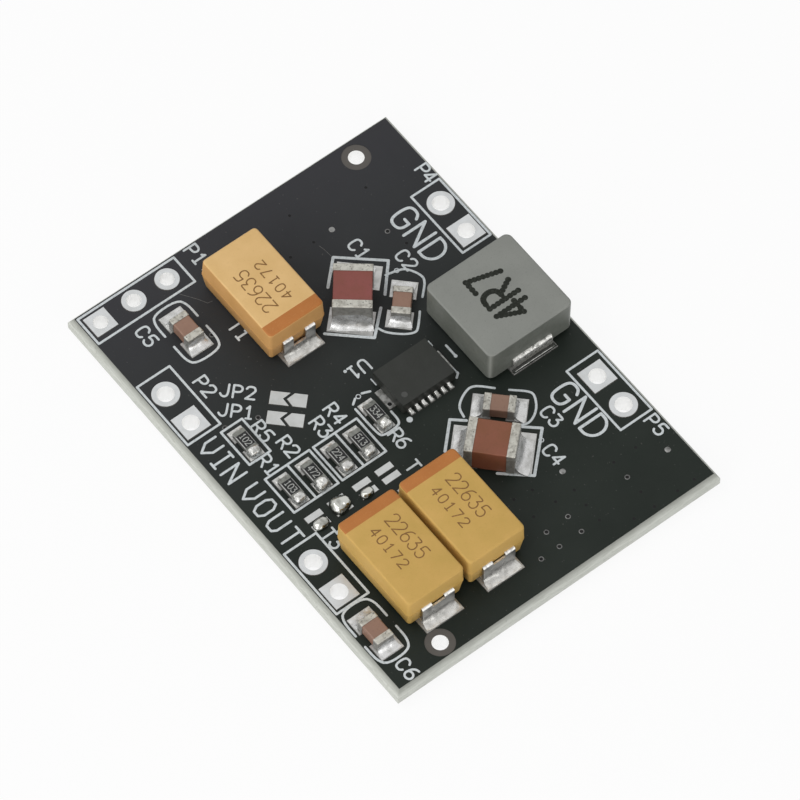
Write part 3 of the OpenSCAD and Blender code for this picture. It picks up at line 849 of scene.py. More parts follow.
PALE_CERAMIC = replace(
    CERAMIC,
    name="pale_brown_ceramic",
    tone=(0.295, 0.175, 0.125),
    cloud=(0.265, 0.155, 0.11),
    speck=(0.19, 0.10, 0.07),
    gloss=0.4,
)
# painted shade on the resistors' sides below their top rim
ALUMINA = FootShadeFinish(
    "white_alumina",
    tone=(0.68, 0.68, 0.66),
    cloud=(0.60, 0.60, 0.585),
    speck=(0.48, 0.48, 0.47),
    specks=(0.4, 9.0),
    cloud_per_mm=1.5,
    sheen=(0.5, 0.65),
    gloss=0.35,
)
GLAZE = MouldedFinish(
    "black_glaze",
    tone=(0.010, 0.0105, 0.011),
    cloud=(0.015, 0.0155, 0.016),
    speck=(0.04, 0.04, 0.04),
    specks=(0.3, 9.0),
    cloud_per_mm=1.6,
    sheen=(0.3, 0.44),
    gloss=0.3,
)
# painted shade: near-black solder at the foot of the inductor's leads, where they are in shade
SHADED_SOLDER = MouldedFinish(
    "solder_painted_shade",
    tone=(0.034, 0.036, 0.031),
    cloud=(0.022, 0.024, 0.02),
    speck=(0.12, 0.12, 0.11),
    specks=(0.4, 8.0),
    cloud_per_mm=1.6,
    sheen=(0.35, 0.5),
    gloss=0.25,
)
# painted shade: the near-black discs that stand for the insides of the via holes
VIA_SHADE = replace(
    GLAZE,
    name="via_painted_shade",
    tone=(0.005, 0.005, 0.005),
    cloud=(0.008, 0.008, 0.008),
    speck=(0.015, 0.015, 0.015),
    sheen=(0.5, 0.7),
    gloss=0.2,
)
SILK = InkFinish("legend_ink", tone=(0.66, 0.70, 0.715), thin=(0.48, 0.52, 0.53))
CASE_INK = InkFinish("case_ink", tone=(0.22, 0.11, 0.034), thin=(0.34, 0.185, 0.055))
CORE_INK = InkFinish("core_ink", tone=(0.017, 0.019, 0.015), thin=(0.040, 0.043, 0.036), gloss=0.12)
CODE_INK = InkFinish("code_ink", tone=(0.46, 0.47, 0.45), thin=(0.28, 0.29, 0.27))
SCUFF = InkFinish("scuff", tone=(0.13, 0.13, 0.125), thin=(0.05, 0.05, 0.05))
DOT_INK = InkFinish("pin_mark", tone=(0.065, 0.067, 0.063), thin=(0.05, 0.051, 0.049), rough=0.4)


def dress(finish: Finish, *nodes: str) -> None:
    """Gives CAD nodes their finish.

    Args:
        finish: The finish.
        nodes: Names of the nodes.
    """
    for node in nodes:
        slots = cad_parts[node].data.materials
        slots.clear()
        slots.append(finish.material())
        LOG.info("%s: CAD piece in %s", node, finish.name)


def circle(sides: int) -> list[Vector]:
    """Finds the corners of a regular outline with a radius of one."""
    turns = (2 * math.pi * i / sides for i in range(sides))
    return [Vector((math.cos(turn), math.sin(turn))) for turn in turns]


class MeshDraft:
    """Closed shells in millimetres that become one piece."""

    CREASE = math.radians(38)

    def __init__(self) -> None:
        """Starts an empty draft."""
        self.mesh = bmesh.new()

    def _skin(self, cells: list[list[bmesh.types.BMVert]], material: int = 0) -> None:
        """Adds faces of one finish."""
        for cell in cells:
            self.mesh.faces.new(cell).material_index = material

    def loft(self, rings: list[list[Vector]], material: int = 0, hoop: bool = False) -> None:
        """Joins rings of equal length into a closed shell.

        Args:
            rings: The rings, in order.
            material: Index of the finish.
            hoop: Whether the last ring joins the first, where the ends are otherwise capped.
        """
        made = [[self.mesh.verts.new(p) for p in ring] for ring in rings]
        count = len(rings[0])
        pairs = list(zip(made, made[1:])) + ([(made[-1], made[0])] if hoop else [])
        around = [(i, (i + 1) % count) for i in range(count)]
        cells = [[a[i], a[j], b[j], b[i]] for a, b in pairs for i, j in around]
        self._skin(cells if hoop else [*cells, made[0], made[-1]], material)

    def hoop(self, centre: Vector, profile: tuple[Point, ...], sides: int, material: int = 0) -> None:
        """Turns a closed profile round an upright axis.

        Args:
            centre: Middle of the hoop in the plane.
            profile: Radius and height of each of its corners.
            sides: Number of sides.
            material: Index of the finish.
        """
        arms = circle(sides)
        rings = [[(centre + r * arm).to_3d() + Vector((0, 0, z)) for r, z in profile] for arm in arms]
        self.loft(rings, material, hoop=True)

    def prism(self, points: list[Vector], cells: list[Cell], z0: float, z1: float) -> None:
        """Raises a flat pattern of cells into a closed plate.

        Args:
            points: Corners in the plane.
            cells: Corner numbers of each cell, counter-clockwise.
            z0: Height of the underside.
            z1: Height of the top.
        """
        low = [self.mesh.verts.new((p.x, p.y, z0)) for p in points]
        high = [self.mesh.verts.new((p.x, p.y, z1)) for p in points]
        sides = {(cell[i - 1], cell[i]) for cell in cells for i in range(len(cell))}
        painted_shade_bands = [(a, b) for a, b in sides if (b, a) not in sides]
        self._skin([[high[i] for i in cell] for cell in cells])
        self._skin([[low[i] for i in reversed(cell)] for cell in cells])
        self._skin([[low[a], low[b], high[b], high[a]] for a, b in painted_shade_bands])

    def disc(self, centre: Vector, radius: float, z0: float, z1: float, sides: int = 18) -> None:
        """Adds a flat round plate.

        Args:
            centre: Middle of the disc in the plane.
            radius: Radius.
            z0: Height of the underside.
            z1: Height of the top.
            sides: Number of sides.
        """
        points = [centre + radius * arm for arm in circle(sides)]
        self.prism(points, [list(range(sides))], z0, z1)

    def piece(
        self,
        name: str,
        finishes: tuple[Finish, ...],
        slot: str | None = None,
        replaces: tuple[str, ...] = (),
    ) -> None:
        """Makes the piece and lets it ride on the board.

        Args:
            name: Name of the piece.
            finishes: Finishes, in the order of the material indices.
            slot: Material slot of the record, if it has one; it is not used.
            replaces: CAD nodes that the piece stands for.
        """
        bmesh.ops.recalc_face_normals(self.mesh, faces=self.mesh.faces)
        bmesh.ops.scale(self.mesh, vec=(MM, MM, MM), verts=self.mesh.verts)
        for face in self.mesh.faces:
            face.smooth = True
        mesh = bpy.data.meshes.new(name)
        self.mesh.to_mesh(mesh)
        self.mesh.free()
        mesh.set_sharp_from_angle(angle=self.CREASE)
        for finish in finishes:
            mesh.materials.append(finish.material())
        made = bpy.data.objects.new(name, mesh)
        bpy.context.collection.objects.link(made)
        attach(made, BODY)
        if replaces:
            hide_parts(*replaces)
        LOG.info("%s: %d faces in %s", name, len(mesh.polygons), finishes[0].name)


def is_closed(points: list[Vector], same_place: float = 1e-6) -> bool:
    """Tells whether a line ends where it starts."""
    return (points[0] - points[-1]).length < same_place


def rounded(points: list[Vector], times: int = 2) -> list[Vector]:
    """Cuts a line's corners, apart from the ends of an open line.

    Args:
        points: The line's points.
        times: How often the corners are cut.

    Returns:
        The softer line.
    """
    closed = is_closed(points)
    for _ in range(times):
        cut = [a.lerp(b, share) for a, b in zip(points, points[1:]) for share in (0.25, 0.75)]
        points = cut + [cut[0]] if closed else [points[0], *cut[1:-1], points[-1]]
    return points


def soft_edge(run: float, drop: float) -> list[Point]:
    """Rounds a moulding's upper edge, as steps inwards from its side and down from its top."""
    turns = [math.pi / 2 * k / EDGE_STEPS for k in range(EDGE_STEPS + 1)]
    return [(run * (1 - math.cos(a)), drop * (1 - math.sin(a))) for a in turns]


class Pen:
    """Draws strokes of even width as thin plates on a level face, each at a level of its own."""

    SUNK = 0.003
    LOWEST = 0.4
    LEVEL_STEP = 0.618034
    SOFT_TURN = math.radians(22)
    ARC_STEP = math.radians(30)
    LEAST_MITRE = 0.2
    CAP_STEPS = 6

    def __init__(self, draft: MeshDraft, width: float, face_z: float, height: float) -> None:
        """Sets up the pen.

        Args:
            draft: Mesh that takes the strokes.
            width: Width of a stroke.
            face_z: Height of the face that is drawn on.
            height: Thickness of the ink.
        """
        self.draft = draft
        self.half = width / 2
        self.face_z = face_z
        self.height = height
        self.count = 0

    def _plate(self) -> Point:
        """Gives each stroke its own level, so that no two strokes that cross lie in one plane.

        Returns:
            Height of the next stroke's underside and of its top.
        """
        self.count += 1
        share = self.LOWEST + (1 - self.LOWEST) * (self.count * self.LEVEL_STEP % 1)
        return self.face_z - self.SUNK, self.face_z + self.height * share

    def dot(self, centre: Vector, radius: float, sides: int = 16) -> None:
        """Draws a round dot."""
        self.draft.disc(centre, radius, *self._plate(), sides=sides)

    def stroke(self, points: list[Vector]) -> None:
        """Draws a line through points, closed where the last is the first.

        Args:
            points: The line's points.
        """
        closed = is_closed(points)
        points = points[:-1] if closed else points
        corners: list[Vector] = []
        cells: list[Cell] = []
        joints = []
        count = len(points)
        for i, here in enumerate(points):
            before = points[i - 1] if i or closed else here * 2 - points[1]
            after = points[(i + 1) % count] if i < count - 1 or closed else here * 2 - points[i - 1]
            joints.append(self._joint(before, here, after, corners, cells))
        steps = zip(joints, joints[1:] + joints[:1]) if closed else zip(joints, joints[1:])
        for (_, leave), (arrive, _) in steps:
            cells.append([leave[1], arrive[1], arrive[0], leave[0]])
        if not closed:
            self._cap(points[-1], joints[-1][1][1], joints[-1][1][0], corners, cells)
            self._cap(points[0], joints[0][0][0], joints[0][0][1], corners, cells)
        self.draft.prism(corners, cells, *self._plate())

    def _joint(
        self, before: Vector, here: Vector, after: Vector, corners: list[Vector], cells: list[Cell]
    ) -> tuple[Edge, Edge]:
        """Adds the corners of a line at one of its points, with an arc outside a sharp turn.

        Args:
            before: The point before.
            here: The point.
            after: The point after.
            corners: Corners so far, which take the new ones.
            cells: Cells so far, which take the arc's fan.

        Returns:
            Numbers of the left and right corner where the line arrives, and where it leaves.
        """
        first, second = (here - before).normalized(), (after - here).normalized()
        turn = math.atan2(first.x * second.y - first.y * second.x, first.dot(second))
        middle = Matrix.Rotation(turn / 2, 2) @ first
        reach = self.half / max(self.LEAST_MITRE, math.cos(turn / 2)) * Vector((-middle.y, middle.x))
        start = len(corners)
        if abs(turn) < self.SOFT_TURN:
            corners += [here + reach, here - reach]
            return (start, start + 1), (start, start + 1)
        side = 1 if turn > 0 else -1
        count = max(2, round(abs(turn) / self.ARC_STEP))
        arm = -side * self.half * Vector((-first.y, first.x))
        arc = [here + Matrix.Rotation(turn * k / count, 2) @ arm for k in range(count + 1)]
        corners += [here + side * reach, *arc]
        fan = list(range(start + 1, start + count + 2))
        cells.append([start] + (fan if side > 0 else fan[::-1]))
        if side > 0:
            return (start, fan[0]), (start, fan[-1])
        return (fan[0], start), (fan[-1], start)

    def _cap(self, end: Vector, first: int, last: int, corners: list[Vector], cells: list[Cell]) -> None:
        """Rounds an open end, from one of its corners to the other.

        Args:
            end: The line's end.
            first: Number of the corner that the arc starts from.
            last: Number of the corner that it runs to.
            corners: Corners so far, which take the arc's.
            cells: Cells so far, which take the cap.
        """
        arm = corners[first] - end
        ring = [first]
        for k in range(1, self.CAP_STEPS):
            ring.append(len(corners))
            corners.append(end + Matrix.Rotation(math.pi * k / self.CAP_STEPS, 2) @ arm)
        cells.append(ring + [last])


class StrokeFont:
    """Plain stroked letters and digits in a cell one unit wide and high."""

    STEM = ((0, 0), (0, 1))
    BOWL = ((0, 1), (0.72, 1), (1, 0.84), (1, 0.62), (0.72, 0.46), (0, 0.46))
    RING = (
        *((0.25, 1), (0.75, 1), (1, 0.75), (1, 0.25), (0.75, 0)),
        *((0.25, 0), (0, 0.25), (0, 0.75), (0.25, 1)),
    )
    LOW_RING = (
        *((0.28, 0.57), (0.72, 0.57), (1, 0.4), (1, 0.17), (0.72, 0)),
        *((0.28, 0), (0, 0.17), (0, 0.4), (0.28, 0.57)),
    )
    HOOK = ((1, 0.8), (0.78, 1), (0.22, 1), (0, 0.78), (0, 0.22), (0.22, 0), (0.78, 0))
    GLYPHS = {
        "0": (RING,),
        "1": (((0.2, 0.8), (0.5, 1), (0.5, 0)), ((0.2, 0), (0.8, 0))),
        "2": (((0, 0.8), (0.2, 1), (0.8, 1), (1, 0.82), (1, 0.62), (0, 0)), ((0, 0), (1, 0))),
        "3": (
            ((0, 1), (1, 1), (0.45, 0.6)),
            ((0.45, 0.6), (0.8, 0.6), (1, 0.4), (1, 0.2), (0.75, 0), (0.2, 0), (0, 0.2)),
        ),
        "4": (((0.75, 0), (0.75, 1), (0, 0.3)), ((0, 0.3), (1, 0.3))),
        "5": (
            ((0.95, 1), (0.1, 1), (0.05, 0.58)),
            ((0.05, 0.58), (0.7, 0.62), (1, 0.42), (1, 0.2), (0.75, 0), (0.2, 0), (0, 0.16)),
        ),
        "6": (LOW_RING, ((0.03, 0.36), (0.1, 0.66), (0.42, 0.93), (0.85, 1))),
        "7": (((0, 1), (1, 1), (0.35, 0)),),
        "C": ((*HOOK, (1, 0.2)),),
        "D": (STEM, ((0, 1), (0.55, 1), (1, 0.72), (1, 0.28), (0.55, 0), (0, 0))),
        "G": ((*HOOK, (1, 0.18), (1, 0.46)), ((1, 0.46), (0.58, 0.46))),
        "I": (((0.5, 0), (0.5, 1)), ((0.22, 0), (0.78, 0)), ((0.22, 1), (0.78, 1))),
        "J": (((0.9, 1), (0.9, 0.25), (0.68, 0), (0.25, 0), (0, 0.22)),),
        "N": (((0, 0), (0, 1), (1, 0), (1, 1)),),
        "O": (RING,),
        "P": (STEM, BOWL),
        "R": (STEM, BOWL, ((0.45, 0.46), (1, 0))),
        "T": (((0, 1), (1, 1)), ((0.5, 1), (0.5, 0))),
        "U": (((0, 1), (0, 0.22), (0.22, 0), (0.78, 0), (1, 0.22), (1, 1)),),
        "V": (((0, 1), (0, 0.42), (0.5, 0), (1, 0.42), (1, 1)),),
    }
    STRAIGHT = "147INTV"

    @classmethod
    def lines(cls, text: str, place: Placement, size: Triple, soft: int = 2) -> list[list[Vector]]:
        """Lays out a line of lettering.

        Args:
            text: The letters.
            place: Start of the base line, turned along it.
            size: Width and height of a letter, and the step from one to the next.
            soft: How often the letters' corners are cut.

        Returns:
            The strokes.
        """
        width, height, pitch = size
        lines = []
        for i, letter in enumerate(text):
            for glyph in cls.GLYPHS[letter]:
                points = [Vector((i * pitch + x * width, y * height)) for x, y in glyph]
                line = points if letter in cls.STRAIGHT else rounded(points, soft)
                lines.append([place.point(p.x, p.y) for p in line])
        return lines


class Reading(Enum):
    """Ways in which lettering on the board reads, as turns in degrees."""

    TO_FRONT = -90.0
    TO_REAR = 90.0
    TO_LEFT = 180.0
    SLANTED = -45.0


class Lettering(Enum):
    """Letter sizes: width, height, stroke, and how often corners are cut."""

    GROUND = (1.05, 1.70, 0.19, 2)
    TERMINAL = (0.80, 1.36, 0.155, 0)
    PART = (0.54, 0.87, 0.14, 2)


@dataclass(frozen=True)
class Label:
    """A legend on the board, placed by the start of its base line."""

    text: str
    u: float
    v: float
    pitch: float = 0.79
    lettering: Lettering = Lettering.PART
    reading: Reading = Reading.TO_FRONT


@dataclass
class Legend:
    """White legend on the solder mask: outlines round the parts and their names."""

    face: BoardFace
    ink: float = 0.018
    line: float = 0.15
    bold_line: float = 0.19
    fine_line: float = 0.08
    labels: tuple[Label, ...] = (
        Label("GND", 19.69, 6.05, 1.51, Lettering.GROUND),
        Label("GND", 19.64, 21.99, 1.49, Lettering.GROUND),
        Label("VIN", 0.45, 11.95, 1.165, Lettering.TERMINAL),
        Label("VOUT", 0.5, 16.04, 1.29, Lettering.TERMINAL),
        Label("P1", 8.27, 0.15),
        Label("C5", 2.34, 3.03),
        Label("P2", 3.03, 8.07),
        Label("T1", 7.08, 6.15),
        Label("C1", 16.47, 6.0),
        Label("C2", 18.31, 8.4),
        Label("P4", 23.2, 4.2, 0.66),
        Label("R5", 3.87, 12.72),
        Label("R1", 2.74, 14.8),
        Label("R2", 4.47, 14.53),
        Label("R3", 6.87, 14.67),
        Label("R4", 8.12, 14.44),
        Label("R6", 10.15, 18.25, 0.7),
        Label("T2", 9.58, 20.62),
        Label("T3", 2.67, 21.28, 0.72),
        Label("C3", 18.4, 22.62),
        Label("C4", 16.83, 24.8),
        Label("P5", 23.07, 26.97),
        Label("C6", 0.77, 30.97),
        Label("U1", 12.28, 13.05, reading=Reading.TO_LEFT),
        Label("JP2", 3.75, 9.8, reading=Reading.SLANTED),
        Label("JP1", 2.84, 10.84, reading=Reading.SLANTED),
    )
    boxes: tuple[tuple[float, float, float, float], ...] = (
        (0.13, 0.16, 7.49, 2.35),
        (0.13, 6.25, 2.6, 11.4),
        (0.13, 20.99, 2.55, 26.15),
        (21.8, 5.62, 24.0, 10.78),
        (21.55, 21.35, 23.98, 26.6),
        (2.25, 11.92, 3.85, 14.78),
        (2.37, 16.16, 5.74, 19.07),
        (6.04, 16.16, 9.37, 19.07),
    )
    bold_lines: tuple[tuple[Point, ...], ...] = (
        ((13.69, 7.69), (15.28, 6.15), (17.83, 8.42), (16.15, 10.24)),
        ((11.5, 10.2), (13.74, 12.3), (15.37, 10.83)),
        ((12.19, 21.26), (13.8, 19.68), (14.55, 20.35)),
        ((16.96, 22.76), (17.87, 23.58), (15.42, 25.9), (13.74, 24.4)),
    )
    curves: tuple[tuple[Point, ...], ...] = (
        ((17.05, 9.15), (17.96, 9.35), (18.37, 9.6), (18.78, 10.4), (18.74, 10.96), (17.87, 11.78)),
        ((14.33, 11.87), (14.5, 12.4), (15.3, 13.2), (15.96, 13.55), (16.3, 13.37), (17.1, 12.5)),
        ((14.6, 20.05), (14.75, 19.3), (15.6, 18.75), (16.4, 18.6), (17.33, 19.6)),
        ((17.96, 20.24), (18.87, 21.05), (18.97, 21.5), (18.4, 22.4), (17.5, 22.85), (16.96, 22.6)),
        ((3.65, 4.42), (3.65, 3.35), (4.0, 2.74), (5.78, 2.74), (6.13, 3.35), (6.13, 4.42)),
        ((3.65, 5.33), (3.65, 6.55), (4.0, 7.13), (5.78, 7.13), (6.13, 6.55), (6.13, 5.33)),
        ((0.12, 28.04), (0.12, 26.82), (0.5, 26.22), (2.05, 26.22), (2.46, 26.82), (2.46, 28.04)),
        ((0.12, 28.95), (0.12, 30.1), (0.5, 30.7), (2.05, 30.7), (2.46, 30.1), (2.46, 28.95)),
        ((9.71, 15.6), (9.71, 17.9), (10.0, 18.12), (11.0, 18.12), (11.33, 17.9), (11.33, 17.05)),
        ((9.8, 15.25), (10.15, 15.0)),
        ((10.7, 14.95), (11.19, 15.15)),
    )
    lines: tuple[tuple[Point, ...], ...] = (
        ((4.05, 16.2), (4.05, 19.03)),
        ((7.69, 16.2), (7.69, 19.03)),
        ((16.22, 17.3), (16.22, 17.4), (15.96, 17.6)),
        ((16.87, 15.4), (16.87, 16.3)),
    )
    fine_lines: tuple[tuple[Point, ...], ...] = (
        ((16.22, 15.5), (16.22, 17.3)),
        ((16.2, 14.5), (16.2, 14.9)),
        ((11.76, 14.5), (11.76, 15.0)),
    )
    dots: tuple[Triple, ...] = ((11.87, 18.19, 0.2), (10.85, 13.1, 0.11), (16.87, 16.35, 0.12))

    def build(self) -> None:
        """Draws the outlines and the lettering."""
        self._outlines()
        self._lettering()

    def _outlines(self) -> None:
        """Draws the boxes, lines and dots round the parts."""
        draft = MeshDraft()
        thin, bold, fine = (
            Pen(draft, width, self.face.z, self.ink) for width in (self.line, self.bold_line, self.fine_line)
        )
        boxes = tuple(((u0, v0), (u0, v1), (u1, v1), (u1, v0), (u0, v0)) for u0, v0, u1, v1 in self.boxes)
        for pen, lines, softness in (
            (thin, boxes, 0),
            (bold, self.bold_lines, 0),
            (thin, self.curves, 2),
            (thin, self.lines, 0),
            (fine, self.fine_lines, 0),
        ):
            for line in lines:
                pen.stroke(rounded(self.face.points(line), softness))
        for u, v, radius in self.dots:
            thin.dot(self.face.point(u, v), radius)
        draft.piece("legend_outlines", (SILK,))

    def _lettering(self) -> None:
        """Draws the names of the terminals and parts."""
        draft = MeshDraft()
        for label in self.labels:
            width, height, stroke, soft = label.lettering.value
            pen = Pen(draft, stroke, self.face.z, self.ink)
            place = Placement(*self.face.point(label.u, label.v), label.reading.value)
            for line in StrokeFont.lines(label.text, place, (width, height, label.pitch), soft):
                pen.stroke(line)
        draft.piece("legend_lettering", (SILK,))


@dataclass(frozen=True)
class Bead:
    """A rounded bead of solder, flat underneath.

    Its rings stop short of a quarter turn, which leaves a small flat on its crown.
    """

    SIDES: ClassVar[int] = 32
    RINGS: ClassVar[int] = 9
    QUARTER_STEPS: ClassVar[float] = 8.6
    SUNK: ClassVar[float] = 0.01
    SWELL_PER_MM: ClassVar[float] = 2.3
    EDGE_SHARE: ClassVar[float] = 0.35
    length: float
    breadth: float
    height: float
    uneven: float = 0.0
    square: float = 2.4
    steep: float = 0.8

    def add(self, draft: MeshDraft, place: Placement, z: float, material: int = 0) -> None:
        """Adds the bead to a mesh.

        Args:
            draft: Mesh that takes the bead.
            place: Middle of the bead.
            z: Height of the land under it.
            material: Index of the finish.
        """
        turns = [2 * math.pi * i / self.SIDES for i in range(self.SIDES)]
        rises = [math.pi / 2 * k / self.QUARTER_STEPS for k in range(self.RINGS)]
        rings = [[self._point(place, turn, 0.0, z - self.SUNK) for turn in turns]]
        rings += [[self._point(place, turn, rise, z) for turn in turns] for rise in rises]
        draft.loft(rings, material)

    def _point(self, place: Placement, turn: float, rise: float, z: float) -> Vector:
        """Finds a point of the bead's skin.

        Args:
            place: Middle of the bead.
            turn: Turn round the middle, in radians.
            rise: Angle up from the rim, in radians.
            z: Height of the rim.

        Returns:
            The point.
        """
        c, s = math.cos(turn), math.sin(turn)
        foot = (abs(c) ** self.square + abs(s) ** self.square) ** (-1 / self.square)
        reach = foot * math.cos(rise) ** self.steep
        along, across = c * reach * self.length / 2, s * reach * self.breadth / 2
        swell = 1 + self.uneven * noise.noise(place.at(along, across, 0) * self.SWELL_PER_MM)
        edge = 1 + self.uneven * self.EDGE_SHARE * noise.noise(Vector((c, s, place.x)))
        return place.at(along * edge, across * edge, z + self.height * swell * math.sin(rise))


@dataclass(frozen=True)
class Fillet:
    """A joint of solder that runs from a land up an upright face, wider at its toe than at the face.

    It reaches back into the face and sinks into the land, so that no gap shows.
    """

    SLICES: ClassVar[int] = 18
    STEPS: ClassVar[int] = 10
    BACK: ClassVar[float] = 0.02
    SUNK: ClassVar[float] = 0.005
    EDGE: ClassVar[float] = 0.035
    LEAST_CLIMB: ClassVar[float] = 1.2
    SQUARENESS: ClassVar[float] = 3.2
    TOE_ENDS: ClassVar[float] = 0.9
    UNEVEN: ClassVar[float] = 0.08
    SWAY_PER_MM: ClassVar[float] = 1.7
    toe: float
    width: float
    climb: float
    foot: float
    hollow: float = 0.6
    shoulder: float = 0.45

    def add(self, draft: MeshDraft, place: Placement, z: float) -> None:
        """Adds the joint, with its face at the placement and its toe along the placement's turn.

        Args:
            draft: Mesh that takes the joint.
            place: Foot of the upright face.
            z: Height of the land.
        """
        shares = [-math.cos(math.pi * k / self.SLICES) for k in range(self.SLICES + 1)]
        draft.loft([self._section(place, share, z) for share in shares])

    def _section(self, place: Placement, share: float, z: float) -> list[Vector]:
        """Finds the outline across the joint.

        Args:
            place: Foot of the upright face.
            share: Where the outline lies, as a share of the half width.
            z: Height of the land.

        Returns:
            The outline's points.
        """
        fall = 1 - abs(share) ** self.SQUARENESS
        sway = 1 + self.UNEVEN * noise.noise(place.at(0, share * self.width / 2, 0) * self.SWAY_PER_MM)
        climb = self.climb * (self.shoulder + (1 - self.shoulder) * fall) * sway
        climb = max(self.EDGE * self.LEAST_CLIMB, climb)
        toe = self.toe * (self.TOE_ENDS + (1 - self.TOE_ENDS) * fall) * (2 - sway)
        bend = 0.5 - 0.5 * self.hollow
        start, knee, top = Vector((toe, self.EDGE)), Vector((toe * bend, climb * bend)), Vector((0.0, climb))
        outline = [Vector((-self.BACK, -self.SUNK)), Vector((toe, -self.SUNK))]
        for i in range(self.STEPS + 1):
            t = i / self.STEPS
            outline.append(start * (1 - t) ** 2 + knee * (2 * t * (1 - t)) + top * t**2)
        outline.append(Vector((-self.BACK, climb)))
        flare = (self.foot - self.width) / self.toe
        return [place.at(p.x, share / 2 * (self.width + flare * p.x), z + p.y) for p in outline]


class ViaMetal(IntEnum):
    """Material indices of the rings and plugs."""

    RIM = 0
    PLUG = 1
    PRINT = 2


@dataclass
class Vias:
    """Small plated holes between the board's two sides, and scuffs on the mask.

    Each hole shows as a dark disc of painted shade, and its lap is how far the disc reaches under the ring.
    """

    face: BoardFace
    ring_r: float = 0.18
    hole_r: float = 0.105
    rise: float = 0.015
    plug_d: float = 0.38
    plug_rise: float = 0.03
    tent_r: float = 0.15
    tent_hole_r: float = 0.09
    tent_rise: float = 0.0075
    ring_foot: float = 0.004
    inner_lean: float = 0.012
    outer_lean: float = 0.015
    inner_share: float = 0.7
    outer_share: float = 0.6
    sides: int = 24
    sunk: float = 0.005
    film: float = 0.003
    tent_film: float = 0.002
    lap: float = 0.02
    tab_lap: float = 0.03
    tent_lap: float = 0.015
    rings: tuple[Point, ...] = (
        *((6.0, 6.05), (19.1, 6.7), (4.68, 12.45), (13.55, 29.4), (15.25, 29.35)),
        *((19.8, 29.4), (12.15, 30.65), (13.55, 30.65), (15.25, 30.65), (2.65, 11.8)),
    )
    printed_rings: tuple[Point, ...] = ((17.8, 9.3), (10.4, 15.0), (17.3, 24.2))
    plugs: tuple[Point, ...] = ((16.45, 4.5), (22.95, 29.4), (16.95, 26.7))
    tents: tuple[Point, ...] = (
        *((19.5, 8.1), (13.2, 4.55), (15.0, 4.55), (15.0, 2.1), (20.0, 3.35), (13.4, 26.45), (14.7, 26.6)),
        *((13.6, 28.1), (15.3, 28.1), (16.7, 28.15), (19.8, 28.1), (21.5, 28.1), (16.6, 29.4), (16.6, 30.7)),
        *((19.8, 30.7), (18.3, 31.9), (19.8, 32.0), (21.6, 32.0), (22.9, 32.0)),
    )
    tab_hole: Point = (11.57, 16.6)
    scuffs: tuple[tuple[Point, ...], ...] = (
        ((6.2, 2.52), (6.5, 2.95), (6.85, 3.47), (7.16, 4.06), (7.49, 4.13)),
        ((15.1, 4.95), (15.18, 5.3), (15.24, 6.0)),
    )
    scuff_w: float = 0.03
    scuff_t: float = 0.004

    def build(self) -> None:
        """Adds the rings, dark discs of painted shade in the holes, the plugs, the tented holes and the
        scuffs.
        """
        z, land_z = self.face.z, self.face.land_z
        ringed, tented, hollow, marks = (MeshDraft() for _ in range(4))
        for places, metal in ((self.rings, ViaMetal.RIM), (self.printed_rings, ViaMetal.PRINT)):
            for centre in self.face.points(places):
                self._ring(ringed, centre, self.hole_r, self.ring_r, self.rise, metal)
                hollow.disc(centre, self.hole_r + self.lap, z - self.sunk, z + self.film)
        plug = Bead(self.plug_d, self.plug_d, self.plug_rise)
        for centre in self.face.points(self.plugs):
            plug.add(ringed, Placement(*centre), z, ViaMetal.PLUG)
        tab = self.face.point(*self.tab_hole)
        hollow.disc(tab, self.hole_r + self.tab_lap, land_z - self.sunk, land_z + self.film)
        for centre in self.face.points(self.tents):
            self._ring(tented, centre, self.tent_hole_r, self.tent_r, self.tent_rise)
            hollow.disc(centre, self.tent_hole_r + self.tent_lap, z - self.sunk, z + self.tent_film)
        pen = Pen(marks, self.scuff_w, z, self.scuff_t)
        for line in self.scuffs:
            pen.stroke(self.face.points(line))
        ringed.piece("via_rings", (VIA_RIM, VIA_PLUG, SILK), "tinned_copper")
        tented.piece("tented_vias", (MASK,), "solder_mask")
        # the dark discs are painted shade in the holes
        hollow.piece("via_painted_shade_discs", (VIA_SHADE,))
        marks.piece("mask_scuffs", (SCUFF,))

    def _ring(
        self, draft: MeshDraft, centre: Vector, inner: float, outer: float, rise: float, material: int = 0
    ) -> None:
        """Adds a low ring with a round crown.

        Args:
            draft: Mesh that takes the ring.
            centre: Middle of the ring.
            inner: Inner radius.
            outer: Outer radius.
            rise: Height over the mask.
            material: Index of the finish.
        """
        z = self.face.z
        profile = (
            (inner, z - self.ring_foot),
            (inner + self.inner_lean, z + rise * self.inner_share),
            ((inner + outer) / 2, z + rise),
            (outer - self.outer_lean, z + rise * self.outer_share),
            (outer, z - self.ring_foot),
        )
        draft.hoop(centre, profile, self.sides, material)


class AnodeEnd(Enum):
    """End of the board that a tantalum capacitor's banded anode end looks to."""

    REAR = 1.0
    FRONT = -1.0


class CaseFace(IntEnum):
    """Material indices of a tantalum capacitor's case."""

    TOP = 0
    BAND = 1
    SIDE = 2


